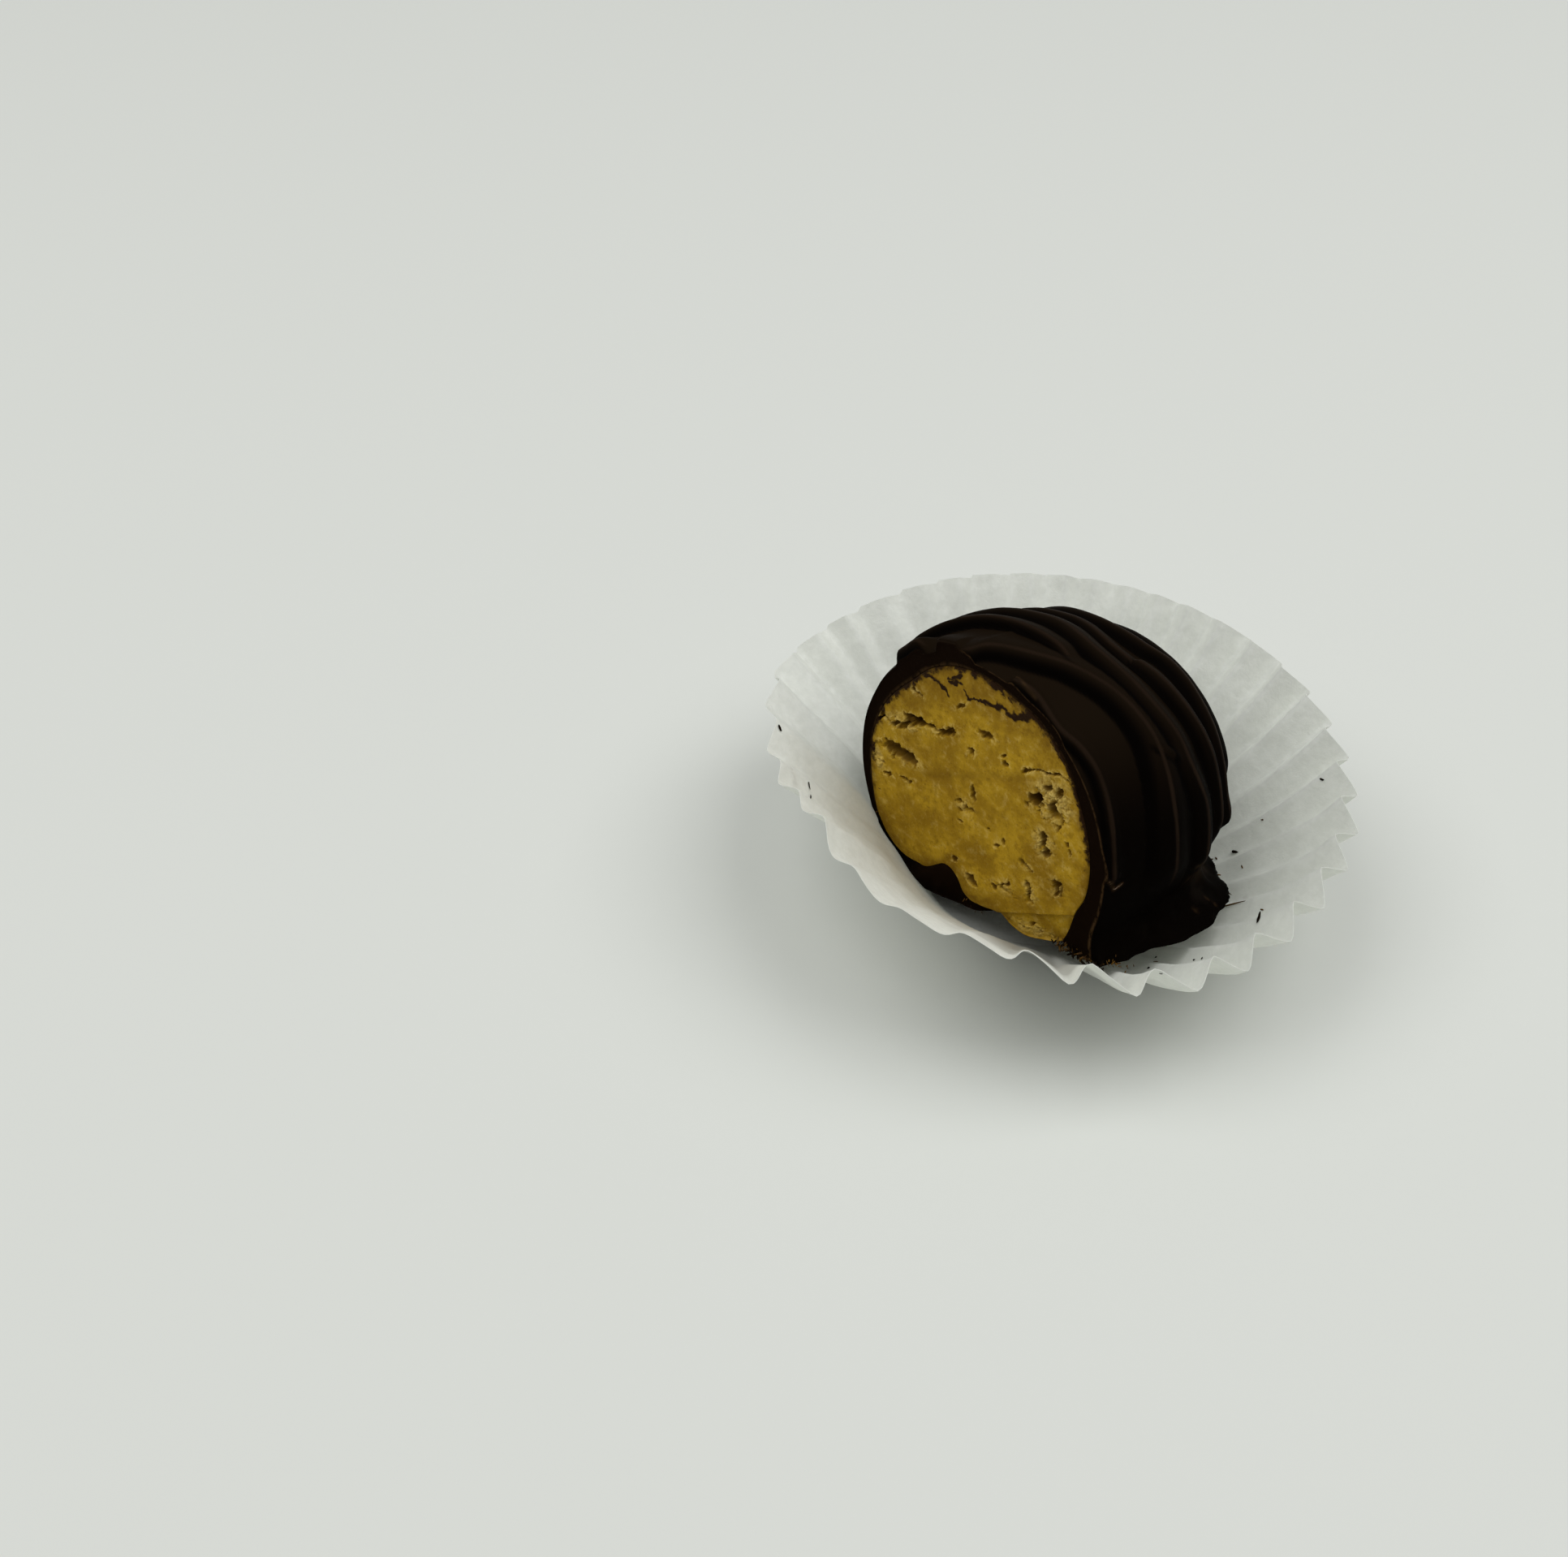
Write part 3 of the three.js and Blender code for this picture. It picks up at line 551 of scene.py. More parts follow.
class CandyShape:
    """The dipped ball and its cut, in the candy's own axes."""

    def __init__(self, sizes):
        self.radius = sizes.ball_radius / MM
        self.back_stretch = sizes.back_stretch / MM
        self.sag = sizes.sag / MM
        self.tuck = sizes.tuck / MM
        self.cut = -sizes.cut_depth / MM
        self.base = -sizes.base_drop / MM
        self.foot_top = -sizes.foot_drop / MM
        self.foot_mean = sizes.foot_mean / MM
        self.foot_lean = sizes.foot_lean / MM
        self.foot_lump = sizes.foot_lump / MM
        turned = Matrix.Rotation(-sizes.tip_back, 3, "X") @ Matrix.Rotation(-sizes.roll, 3, "Y")
        self.turn = np.array(turned)
        self.centre = np.array(sizes.centre) / MM

    def placed(self, points):
        """Points in the candy's axes, set in the case."""
        return points @ self.turn.T + self.centre

    def ridge_at(self, stroke, around, back):
        """Height of one ridge of drizzle, the painted highlight along its crest, and the painted shade down
        its flank.
        """
        first = stroke["line"][0][0]
        last = stroke["line"][-1][0]
        fade = smoothstep(around, first - stroke["start"], first + stroke["start"])
        fade = fade * (1 - smoothstep(around, last - stroke["end"], last + stroke["end"]))
        swell = 1.0
        if stroke["end"] == DRIP:
            swell = 1 + DRIP_SWELL * np.exp(-((around - last + 1.5 * DRIP) / (2 * DRIP)) ** 2)
        share = np.clip((around - first) / (last - first), 0.0, 1.0)
        flank = stroke["flank"][0] + (stroke["flank"][1] - stroke["flank"][0]) * share
        flank = flank * swell
        steep = curve_through(stroke["line"], around + 1) - curve_through(stroke["line"], around - 1)
        steep = steep / (2 * math.radians(1) * self.radius)
        away = (back - curve_through(stroke["line"], around)) / np.sqrt(1 + steep ** 2)
        down = np.clip(-away / flank, 0.0, 1.0)
        behind = np.maximum(away, 0.0) / (stroke["back"] * swell)
        height = stroke["height"] * fade * swell * np.cos(math.pi / 2 * down) * np.exp(-behind ** 2)
        crest_highlight = stroke["highlight"] * fade * np.exp(-(away / CREST_LINE) ** 2)
        shade = fade * smoothstep(down, 0.0, 0.75) * (1 - smoothstep(-away - flank, 0.0, CREASE))
        return height, crest_highlight, shade

    def drizzle(self, points):
        """Height of the drizzle over the ball, the painted highlight along its crests and the painted shade
        down its flanks.
        """
        around = np.degrees(np.arctan2(points[:, 0], points[:, 2]))
        ridges = np.array([self.ridge_at(stroke, around, points[:, 1]) for stroke in DRIZZLE])
        heights, crest_highlights, shades = ridges.transpose(1, 0, 2)
        top = heights.max(axis=0)
        crest_highlight = crest_highlights[heights.argmax(axis=0), np.arange(len(points))]
        shade = (shades * (1 - smoothstep(top - heights, 0.6, 0.9))).max(axis=0)
        return top, crest_highlight, shade

    def foot_reach(self, turn):
        """How far the foot stands out at a turn from x towards y."""
        lean = self.foot_lean * np.cos(turn_between(turn, FOOT_LUMP["at"]))
        return self.foot_mean + lean + self.foot_lump * nearness(turn, FOOT_LUMP)

    def ball(self, points):
        """Points of a plain ball, moved to the dipped, drizzled and sagged one with its foot."""
        x, y, z = points.T
        edge = math.sqrt(self.radius ** 2 - self.base ** 2)
        under = z < self.base
        z = np.maximum(z, self.base)
        flare = np.clip((self.foot_top - z) / (self.foot_top - self.base), 0.0, 1.0)
        turn = np.arctan2(y, x)
        across = np.hypot(x, y)
        reach = self.foot_reach(turn)
        across = np.where(under, across * (edge + reach) / edge, across + reach * flare ** FOOT_FLARE)
        moved = np.stack([across * np.cos(turn), across * np.sin(turn), z], 1)
        outward = moved.copy()
        outward[:, 2] *= 1 - flare
        outward = outward / np.linalg.norm(outward, axis=1, keepdims=True)
        lumpy = layers_at(moved, FOOT_LUMPS) * flare ** 0.7 * nearness(turn, FOOT_ROUGH, 4)
        bump = self.drizzle(moved)[0] * (1 - flare) + layers_at(moved, COATING_DENTS) + lumpy
        moved = moved + outward * np.where(under, bump * (np.hypot(x, y) / edge) ** 8, bump)[:, None]
        behind = moved[:, 1] > 0
        moved[:, 1] = np.where(behind, moved[:, 1] * (1 + self.back_stretch / self.radius), moved[:, 1])
        moved[:, 1] = np.maximum(moved[:, 1], self.cut)
        return self.sagged(moved)

    def sagged(self, points):
        """Behind the cut and above its base the ball has sunk, and its left side has drawn in."""
        rise = smoothstep(points[:, 2], self.base, 0.0)
        left = np.maximum(-points[:, 0], 0.0) / self.radius
        sagged = points.copy()
        sagged[:, 0] += self.tuck * rise * left * smoothstep(points[:, 1], self.cut, self.cut / 2)
        sagged[:, 2] -= self.sag * rise * smoothstep(points[:, 1], self.cut, -self.cut)
        return sagged

    def filling_edge(self, around):
        """Distance from the ball's middle to the filling's edge on the cut."""
        return curve_round(FILLING_EDGE, np.degrees(around))


# Meshes


def corners_of(bm):
    """Places of a mesh's vertices."""
    return np.array([vert.co for vert in bm.verts])


def move_to(bm, points):
    """Sets the places of a mesh's vertices."""
    for vert, point in zip(bm.verts, points):
        vert.co = point


def paint(bm, name, values):
    """Stores a value on each vertex, for the material to read."""
    layer = bm.verts.layers.float.get(name) or bm.verts.layers.float.new(name)
    for vert, value in zip(bm.verts, values):
        vert[layer] = value


def extruded(bm, edges):
    """Extrudes a loop of edges in place. Returns the new loop's edges and vertices."""
    made = bmesh.ops.extrude_edge_only(bm, edges=edges)["geom"]
    verts = [part for part in made if isinstance(part, bmesh.types.BMVert)]
    fresh = set(verts)
    loop = [part for part in made if isinstance(part, bmesh.types.BMEdge) and fresh.issuperset(part.verts)]
    return loop, verts


def linked(name, data):
    """A new object of the scene."""
    made = bpy.data.objects.new(name, data)
    bpy.context.scene.collection.objects.link(made)
    return made


def meshed(bm, name, material):
    """A new object from a mesh, with its material."""
    mesh = bpy.data.meshes.new(name)
    bm.to_mesh(mesh)
    bm.free()
    mesh.materials.append(material)
    return linked(name, mesh)


def finished(bm, name, material, node=None):
    """Closes a mesh in millimetres into a smooth piece in metres, riding on the candy's body."""
    bmesh.ops.recalc_face_normals(bm, faces=bm.faces)
    bmesh.ops.scale(bm, vec=(MM, MM, MM), verts=bm.verts)
    piece = meshed(bm, name, material)
    piece.data.shade_smooth()
    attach(piece, BODY)
    if node:
        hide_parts(node)
    return piece


def sight_line(stage, pixel):
    """Start in millimetres and direction of the sight line through a pixel of the photograph."""
    ahead = Vector((pixel[0] - PICTURE[0] / 2, PICTURE[1] / 2 - pixel[1], -FOCAL_PIXELS))
    ahead.rotate(Euler(stage.camera_turn))
    return Vector(stage.camera_place) / MM, ahead.normalized()


def tree_of(piece):
    """Search tree of a piece's surface, in millimetres."""
    mesh = piece.data
    corners = [vert.co / MM for vert in mesh.vertices]
    return BVHTree.FromPolygons(corners, [face.vertices[:] for face in mesh.polygons])


def kept_above(points, tree, gap):
    """Lifts points that are lower than the surface under them."""
    lifted = points.copy()
    for index, (x, y, z) in enumerate(points):
        hit = tree.ray_cast(Vector((x, y, OVERHEAD)), Vector((0.0, 0.0, -1.0)))[0]
        if hit is not None:
            lifted[index, 2] = max(z, hit.z + gap)
    return lifted


def case_mesh(case):
    """Rings of paper, extruded up the wall and in across the bottom."""
    bm = bmesh.new()
    turn_layer = bm.verts.layers.float.new("pleat_turn")
    rise_layer = bm.verts.layers.float.new("wall_rise")
    segments = case.pleats * PLEAT_STEPS
    ring = bmesh.ops.create_circle(bm, segments=segments, radius=case.base_radius)["verts"]
    for vert in ring:
        vert[turn_layer] = math.atan2(vert.co.y, vert.co.x)
    rim = bm.edges[:]
    bottom = bm.edges[:]
    for row in range(1, WALL_ROWS + 1):
        rim, verts = extruded(bm, rim)
        for vert in verts:
            vert[rise_layer] = min(row / (WALL_ROWS - 1), RIM_ROW) if row < WALL_ROWS else 1.0
    for share in BASE_RINGS:
        bottom, verts = extruded(bm, bottom)
        for vert in verts:
            vert[rise_layer] = -share
    bmesh.ops.contextual_create(bm, geom=bottom)
    turn = np.array([vert[turn_layer] for vert in bm.verts])
    rise = np.array([vert[rise_layer] for vert in bm.verts])
    up = np.maximum(rise, 0.0)
    flat = case.wall(turn, up, 0.0 * up)
    dent = layers_at(flat, CRUMPLES)
    points = case.wall(turn, up, dent * smoothstep(up, 0.0, 0.3))
    points[:, :2] *= np.where(rise < 0, 1 + rise, 1.0)[:, None]
    # Painted shadow on the front wall, fading out up the wall
    place = np.arctan2(points[:, 1], points[:, 0])
    uneven = up + 0.06 * noise_at(points, 2.0, 8.0)
    paint(bm, "painted_shadow", nearness(place, PAINTED_SHADOW_STRETCH) * (1 - smoothstep(uneven, *PAINTED_SHADOW_STRETCH["up"])))
    move_to(bm, points)
    return bm


def mark_strength(points, tree, stage, marks):
    """How much each point of a surface is marked along lines between pixels."""
    strength = np.zeros(len(points))
    for start, end, half_width, most in marks:
        ends = [tree.ray_cast(*sight_line(stage, pixel))[0] for pixel in (start, end)]
        if None in ends:
            raise RuntimeError(f"the surface is not seen at {start} or {end}")
        run = np.array(ends[1] - ends[0])
        share = np.clip((points - np.array(ends[0])) @ run / (run @ run), 0.0, 1.0)
        away = np.linalg.norm(points - np.array(ends[0]) - share[:, None] * run, axis=1)
        near = np.exp(-(away / half_width) ** 2)
        strength = np.maximum(strength, most * near)
    return strength


def coating_mesh(candy, paper):
    """The dipped ball, cut across, with a recess for the filling."""
    bm = bmesh.new()
    band_layer = bm.verts.layers.float.new("cut_band")
    bmesh.ops.create_uvsphere(bm, u_segments=ROUND_STEPS, v_segments=BACK_STEPS, radius=candy.radius)
    bmesh.ops.rotate(bm, verts=bm.verts, matrix=Matrix.Rotation(math.pi / 2, 3, "X"))
    everything = bm.verts[:] + bm.edges[:] + bm.faces[:]
    bmesh.ops.bisect_plane(
        bm, geom=everything, plane_co=(0, candy.cut, 0), plane_no=(0, -1, 0), clear_outer=True)
    loop = [edge for edge in bm.edges if edge.is_boundary]
    for share in (*BAND_ROWS, RECESS_ROW):
        loop, verts = extruded(bm, loop)
        for vert in verts:
            vert[band_layer] = share
    bmesh.ops.contextual_create(bm, geom=loop)
    band = np.array([vert[band_layer] for vert in bm.verts])
    _, crest_highlight, flank = candy.drizzle(corners_of(bm))
    points = candy.ball(corners_of(bm))
    around = np.arctan2(points[:, 0], points[:, 2])
    outer = np.hypot(points[:, 0], points[:, 2])
    inner = np.minimum(candy.filling_edge(around) - UNDERLAP, BAND_INSIDE * outer)
    reach = outer + (inner - outer) * np.clip(band, 0.0, 1.0)
    cut = band > 0
    swell = np.sin(math.pi * np.clip(band, 0.0, 1.0))
    lump = SET_LUMP["height"] * nearness(around, SET_LUMP, 4) * swell ** 0.6
    relief = LIP * np.exp(-(band / LIP_SHARE) ** 2) + layers_at(points, BAND_ROUGH) * swell + lump
    points[:, 0] = np.where(cut, reach * np.sin(around), points[:, 0])
    points[:, 2] = np.where(cut, reach * np.cos(around), points[:, 2])
    hidden = candy.cut + LIP_SIDE["back"] * nearness(around, LIP_SIDE, 6) * (outer > LIP_SIDE["outside"])
    points[:, 1] = np.where(cut, hidden - relief, np.maximum(points[:, 1], hidden))
    points[:, 1] = np.where(band == RECESS_ROW, candy.cut + RECESS, points[:, 1])
    # Painted shade: in the shaded stretch the cut band is painted as black chocolate
    shaded = nearness(around, SHADED, 4)
    paint(bm, "cut_band", np.where(cut, 1.0 - 0.9 * shaded, 0.0))
    # Paler knife edge, partly a painted highlight: along the outer edge only on the right, where it catches
    # the light, and along the inner edge at the top
    right = smoothstep(around, math.radians(-5), math.radians(4))
    inside = 0.6 * (band > 0.9) * smoothstep(np.cos(around - math.radians(-25)), 0.0, 0.3)
    paint(bm, "knife_edge_and_highlight", cut * (band < RECESS_ROW) * np.maximum(inside, np.where(band < 0.11, right, 0.0)))
    foot = smoothstep(-points[:, 2], -candy.foot_top, -candy.base)
    paint(bm, "foot", foot * (points[:, 1] > candy.cut + 0.1))
    # Painted highlight along the drizzle's crests, not on the foot
    paint(bm, "crest_highlight", np.where(cut, 0.0, crest_highlight * (1 - foot)))
    # Painted shade: darker down the drizzle's steep flanks, low on the ball and in the shaded stretch of the
    # cut band
    low = LOW_SHADE["most"] * smoothstep(-points[:, 2], -LOW_SHADE["top"], -LOW_SHADE["full"])
    paint(bm, "flank", np.where(cut, shaded, np.maximum(flank, low)))
    move_to(bm, kept_above(candy.placed(points), paper, PAPER_GAP))
    return bm


class CutFace:
    """The filling's cut face at places right (x) and up (z): its pits, crumbs, smears and scores."""

    def __init__(self, x, z):
        self.x = x
        self.z = z
        self.flat = np.stack([x, 0.0 * x, z], 1)
        self.bent_x = x + layers_at(self.flat, RAGGED_X)
        self.bent_z = z + layers_at(self.flat, RAGGED_Z)
        bent = np.stack([self.bent_x, 0.0 * x, self.bent_z], 1)
        self.domed, self.chance = grains_at(bent, GRAIN, 3.0)
        self.fine_chance = grains_at(bent, FINE_GRAIN, 8.0)[1]
        self.ragged = 0.3 * noise_at(self.flat, 0.8, 1.0) + 0.25 * (self.fine_chance - 0.5)

    def line(self, points):
        """Uneven distance to a line."""
        return line_distance(self.bent_x, self.bent_z, points)

    def pits(self):
        """How hollow and how deep the pits and cracks are, and where their crumbly rims are."""
        hollow = np.zeros(len(self.x))
        depth = np.zeros(len(self.x))
        near = np.zeros(len(self.x))
        for (at_x, at_z), (half_long, half_wide), deep, turn in PITS:
            cosine = math.cos(math.radians(turn))
            sine = math.sin(math.radians(turn))
            along = ((self.bent_x - at_x) * cosine + (self.bent_z - at_z) * sine) / half_long
            over = ((self.bent_z - at_z) * cosine - (self.bent_x - at_x) * sine) / half_wide
            away = np.hypot(along, over) + self.ragged
            shape = 1 - smoothstep(away, 0.65, 1.2)
            near = np.maximum(near, 1 - smoothstep(away, 1.2, 2.3))
            hollow = np.maximum(hollow, (1 - smoothstep(away, 0.75, 1.4)) * min(0.3 + 0.45 * deep, 1.0))
            depth = np.maximum(depth, deep * shape * (0.75 + 0.5 * self.fine_chance))
        for half_wide, deep, points in CRACKS:
            away = self.line(points) / half_wide + self.ragged
            shape = 1 - smoothstep(away, 0.4, 1.3)
            near = np.maximum(near, 1 - smoothstep(away, 1.5, 4.0))
            hollow = np.maximum(hollow, 0.7 * shape)
            depth = np.maximum(depth, deep * shape)
        return hollow, depth, near * (1 - smoothstep(hollow, 0.0, 0.2))

    def crumbled(self):
        """How far the face is broken up, where a grain is lost, and the creases between grains."""
        patch = np.zeros(len(self.x))
        for (at_x, at_z), (half_x, half_z), strength in PALE_PATCHES:
            away = np.hypot((self.bent_x - at_x) / half_x, (self.bent_z - at_z) / half_z)
            patch = np.maximum(patch, strength * (1 - smoothstep(away + 0.8 * self.ragged, 0.2, 1.2)))
        lost = smoothstep(0.42 * patch - self.chance, 0.0, 0.06)
        crease = patch * (1 - smoothstep(self.domed, 0.04, 0.22)) * smoothstep(self.fine_chance, 0.1, 0.5)
        return patch, lost, crease

    def smeared(self, edge):
        """Chocolate dragged into the face, and along its upper edge."""
        smear = np.zeros(len(self.x))
        for half_wide, points in STREAKS:
            away = self.line(points) / half_wide + 1.3 * self.ragged
            smear = np.maximum(smear, 1 - smoothstep(away, 0.2, 1.9))
        upper = smoothstep(self.z, -7.0, 3.0)
        along = 0.6 + 0.4 * smoothstep(noise_at(self.flat, 1.3, 17.0), -0.4, 0.3)
        return np.maximum(smear, upper * along * (1 - smoothstep(edge + 1.3 * self.ragged, 0.1, 1.1)))

    def scored(self):
        """Lines that the knife left."""
        score = np.zeros(len(self.x))
        for start, end, half_wide, strength in KNIFE_LINES:
            away = line_distance(self.x, self.z, (start, end)) / half_wide + 0.6 * self.ragged
            score = np.maximum(score, strength * (1 - smoothstep(away, 0.0, 1.0)))
        return score

    def step(self):
        """How far the face steps back below the step line."""
        (low_x, low_z), (high_x, high_z) = STEP_LINE
        length = math.hypot(high_x - low_x, high_z - low_z)
        below = ((self.x - low_x) * (high_z - low_z) - (self.z - low_z) * (high_x - low_x)) / length
        return 0.4 * smoothstep(below + 0.1 * self.ragged, 0.0, 0.2) + 0.06 * np.maximum(below, 0.0)

    def texture(self):
        """Soft waves, drag marks and fine grain."""
        dragged = noise_at(self.flat * (0.25, 1.0, 1.0), 0.6, 5.0)
        return layers_at(self.flat, FACE_WAVES) + 0.025 * dragged


def filling_mesh(candy):
    """The filling's cut face with its pits, tears and crumbs, closed behind."""
    bm = bmesh.new()
    bmesh.ops.create_grid(bm, x_segments=FACE_STEPS, y_segments=FACE_STEPS, size=1.0)
    square = corners_of(bm)
    square /= np.abs(square).max()
    across = square[:, 0] * np.sqrt(1 - square[:, 1] ** 2 / 2)
    up = square[:, 1] * np.sqrt(1 - square[:, 0] ** 2 / 2)
    around = np.arctan2(across, up)
    share = np.hypot(across, up)
    reach = share * candy.filling_edge(around)
    face = CutFace(reach * np.sin(around), reach * np.cos(around))
    hollow, depth, rims = face.pits()
    patch, lost, crease = face.crumbled()
    edge = candy.filling_edge(around) - reach
    smear = face.smeared(edge)
    score = face.scored()
    relief = face.texture() - 0.06 * score + 0.05 * smear - depth - face.step()
    relief += patch * (0.3 * (face.chance - 0.6) + 0.15 * (face.fine_chance - 0.5))
    relief -= 0.35 * lost + 0.2 * crease
    relief += 0.05 * rims * (face.fine_chance - 0.3)
    rim = smoothstep(share, 0.986, 1.0)
    y = candy.cut - (FACE_PROUD + relief) * (1 - rim) + 0.3 * rim
    # Pits, lost grains and creases: the pits' own brown, with painted shade in their hollows and creases
    paint(bm, "pit", np.maximum(hollow, np.maximum(0.42 * lost, 0.4 * crease)))
    pick = 0.6 * face.chance + 0.6 * face.fine_chance
    pale = patch * (1 - lost) * smoothstep(pick, 0.4, 0.95)
    paint(bm, "pale", np.maximum(pale, 0.6 * rims * smoothstep(pick, 0.7, 1.0)))
    paint(bm, "smear", smear)
    paint(bm, "score", score)
    # Painted shade: darker towards the face's top, round its edge and at its lower left
    edge_shade = smoothstep(face.z, 3.0, 11.0) * (1 - smoothstep(edge, 0.5, 6.0))
    edge_shade = np.maximum(edge_shade, 0.9 * (1 - smoothstep(edge + face.ragged, 0.1, 1.6)))
    low = smoothstep(-face.z, 0.0, 6.0) * smoothstep(-face.x, -4.0, 1.0)
    paint(bm, "edge_shade", np.maximum(edge_shade, 1.2 * low * (1 - smoothstep(edge + face.ragged, 0.0, 3.0))))
    move_to(bm, candy.placed(np.stack([face.x, y, face.z], 1)))

    loop, verts = extruded(bm, [edge for edge in bm.edges if edge.is_boundary])
    inward = Vector(candy.turn @ np.array([0.0, RECESS - 0.4, 0.0]))
    bmesh.ops.translate(bm, verts=verts, vec=inward)
    bmesh.ops.contextual_create(bm, geom=loop)
    return bm


def add_crumb(bm, place, size, draw, squash=(1.0, 1.0, 1.0), turn=None):
    """One rough crumb."""
    turned = turn or Euler([draw.uniform(0, 6.28) for _ in range(3)]).to_matrix()
    matrix = Matrix.Translation(place) @ turned.to_4x4() @ Matrix.Diagonal((*squash, 1.0))
    verts = bmesh.ops.create_icosphere(bm, subdivisions=2, radius=size, matrix=matrix)["verts"]
    for vert in verts:
        vert.co += (vert.co - Vector(place)) * draw.uniform(-0.35, 0.3)


def crumbs_mesh(candy, paper, kind):
    """Crumbs of one kind, along the cut's lower edge."""
    bm = bmesh.new()
    draw = random.Random(21 if kind == "filling" else 22)
    for row_kind, start, end, number, stray, least, most in CRUMB_ROWS:
        for _ in range(number if row_kind == kind else 0):
            place = np.array(start) + np.subtract(end, start) * draw.random()
            place = place + [draw.gauss(0, stray) for _ in range(3)]
            size = least + (most - least) * draw.random() ** 2
            spot = kept_above(candy.placed(place[None, :]), paper, 0.5 * size)[0]
            squash = (draw.uniform(0.9, 2.4), draw.uniform(0.25, 0.6), draw.uniform(0.25, 0.6))
            add_crumb(bm, spot, size, draw, squash)
    return bm


def flecks_mesh(bm, paper, stage, marks):
    """Flecks on the paper, where the photograph shows them."""
    draw = random.Random(31)
    for across, down, length, width, turn in marks:
        start, ahead = sight_line(stage, (across, down))
        spot, normal, _, far = paper.ray_cast(start, ahead)
        if spot is None:
            raise RuntimeError(f"no paper is seen at {across}, {down}")
        scale = far / FOCAL_PIXELS / 2
        if normal.dot(ahead) > 0:
            normal = -normal
        right = Vector((1.0, 0.0, 0.0))
        right.rotate(Euler(stage.camera_turn))
        right = (right - right.dot(normal) * normal).normalized()
        right.rotate(Matrix.Rotation(-math.radians(turn), 3, normal))
        turned = Matrix((right, normal.cross(right), normal)).transposed()
        squash = (length * scale, width * scale, 0.45 * width * scale)
        add_crumb(bm, spot + FLECK_LIFT * normal, 1.0, draw, squash, turned)


# Materials


class Number:
    """A number that varies over a surface. Python's operators on it add Math nodes."""

    def __init__(self, shader, socket):
        self.shader = shader
        self.socket = socket

    def joined(self, operation, first, second):
        node = self.shader.add("ShaderNodeMath", {"operation": operation}, {0: first, 1: second})
        return Number(self.shader, node.outputs[0])

    def __add__(self, other):
        return self.joined("ADD", self, other)

    def __rsub__(self, other):
        return self.joined("SUBTRACT", other, self)

    def __mul__(self, other):
        return self.joined("MULTIPLY", self, other)

    __radd__ = __add__
    __rmul__ = __mul__

    def between(self, low, high):
        """0 at low, 1 at high, held outside."""
        node = self.shader.add("ShaderNodeMapRange", {"interpolation_type": "SMOOTHSTEP"},
                               {"Value": self, "From Min": low, "From Max": high})
        return Number(self.shader, node.outputs["Result"])


class Shader:
    """The nodes of one material."""

    def __init__(self, name):
        self.material = bpy.data.materials.new(name)
        self.material.use_nodes = True
        self.tree = self.material.node_tree
        self.tree.nodes.clear()
        self.place = self.add("ShaderNodeTexCoord").outputs["Object"]

    def add(self, kind, settings=None, sockets=None):
        """Adds a node: its settings first, then the values or links of its sockets."""
        node = self.tree.nodes.new(kind)
        for name, value in (settings or {}).items():
            setattr(node, name, value)
        for name, value in (sockets or {}).items():
            socket = node.inputs[name]
            value = value.socket if isinstance(value, Number) else value
            if isinstance(value, bpy.types.NodeSocket):
                self.tree.links.new(value, socket)
            else:
                socket.default_value = value
        return node

    def noise(self, size, detail=3.0, roughness=0.5, scale=(1.0, 1.0, 1.0)):
        """Noise with bumps of a size in metres, about 0 to 1."""
        mapped = self.add("ShaderNodeMapping", None, {"Vector": self.place, "Scale": scale}).outputs[0]
        node = self.add("ShaderNodeTexNoise", None, {
            "Vector": mapped, "Scale": 1.0 / size, "Detail": detail, "Roughness": roughness})
        return Number(self, node.outputs["Fac"])

    def painted(self, name):
        """A value stored on the mesh."""
        return Number(self, self.add("ShaderNodeAttribute", {"attribute_name": name}).outputs["Fac"])

    def mix(self, factor, first, second):
        """Colour from first to second, each of them a socket or a plain colour."""
        ends = [end if isinstance(end, bpy.types.NodeSocket) else (*end, 1.0) for end in (first, second)]
        node = self.add("ShaderNodeMix", {"data_type": "RGBA"}, {0: factor, 6: ends[0], 7: ends[1]})
        return node.outputs[2]

    def layered(self, base, layers):
        """Colours laid over a base, each as far as its factor says."""
        for factor, colour in layers:
            base = self.mix(factor, base, colour)
        return base

    def bump(self, height, strength, distance):
        """Normal of a surface with fine relief."""
        relief = {"Height": height, "Strength": strength, "Distance": distance}
        return self.add("ShaderNodeBump", None, relief).outputs[0]

    def surface(self, sockets):
        """The main surface."""
        return self.add("ShaderNodeBsdfPrincipled", None, sockets).outputs[0]

    def done(self, surface):
        """Sends a surface to the output."""
        self.add("ShaderNodeOutputMaterial", None, {"Surface": surface})
        return self.material


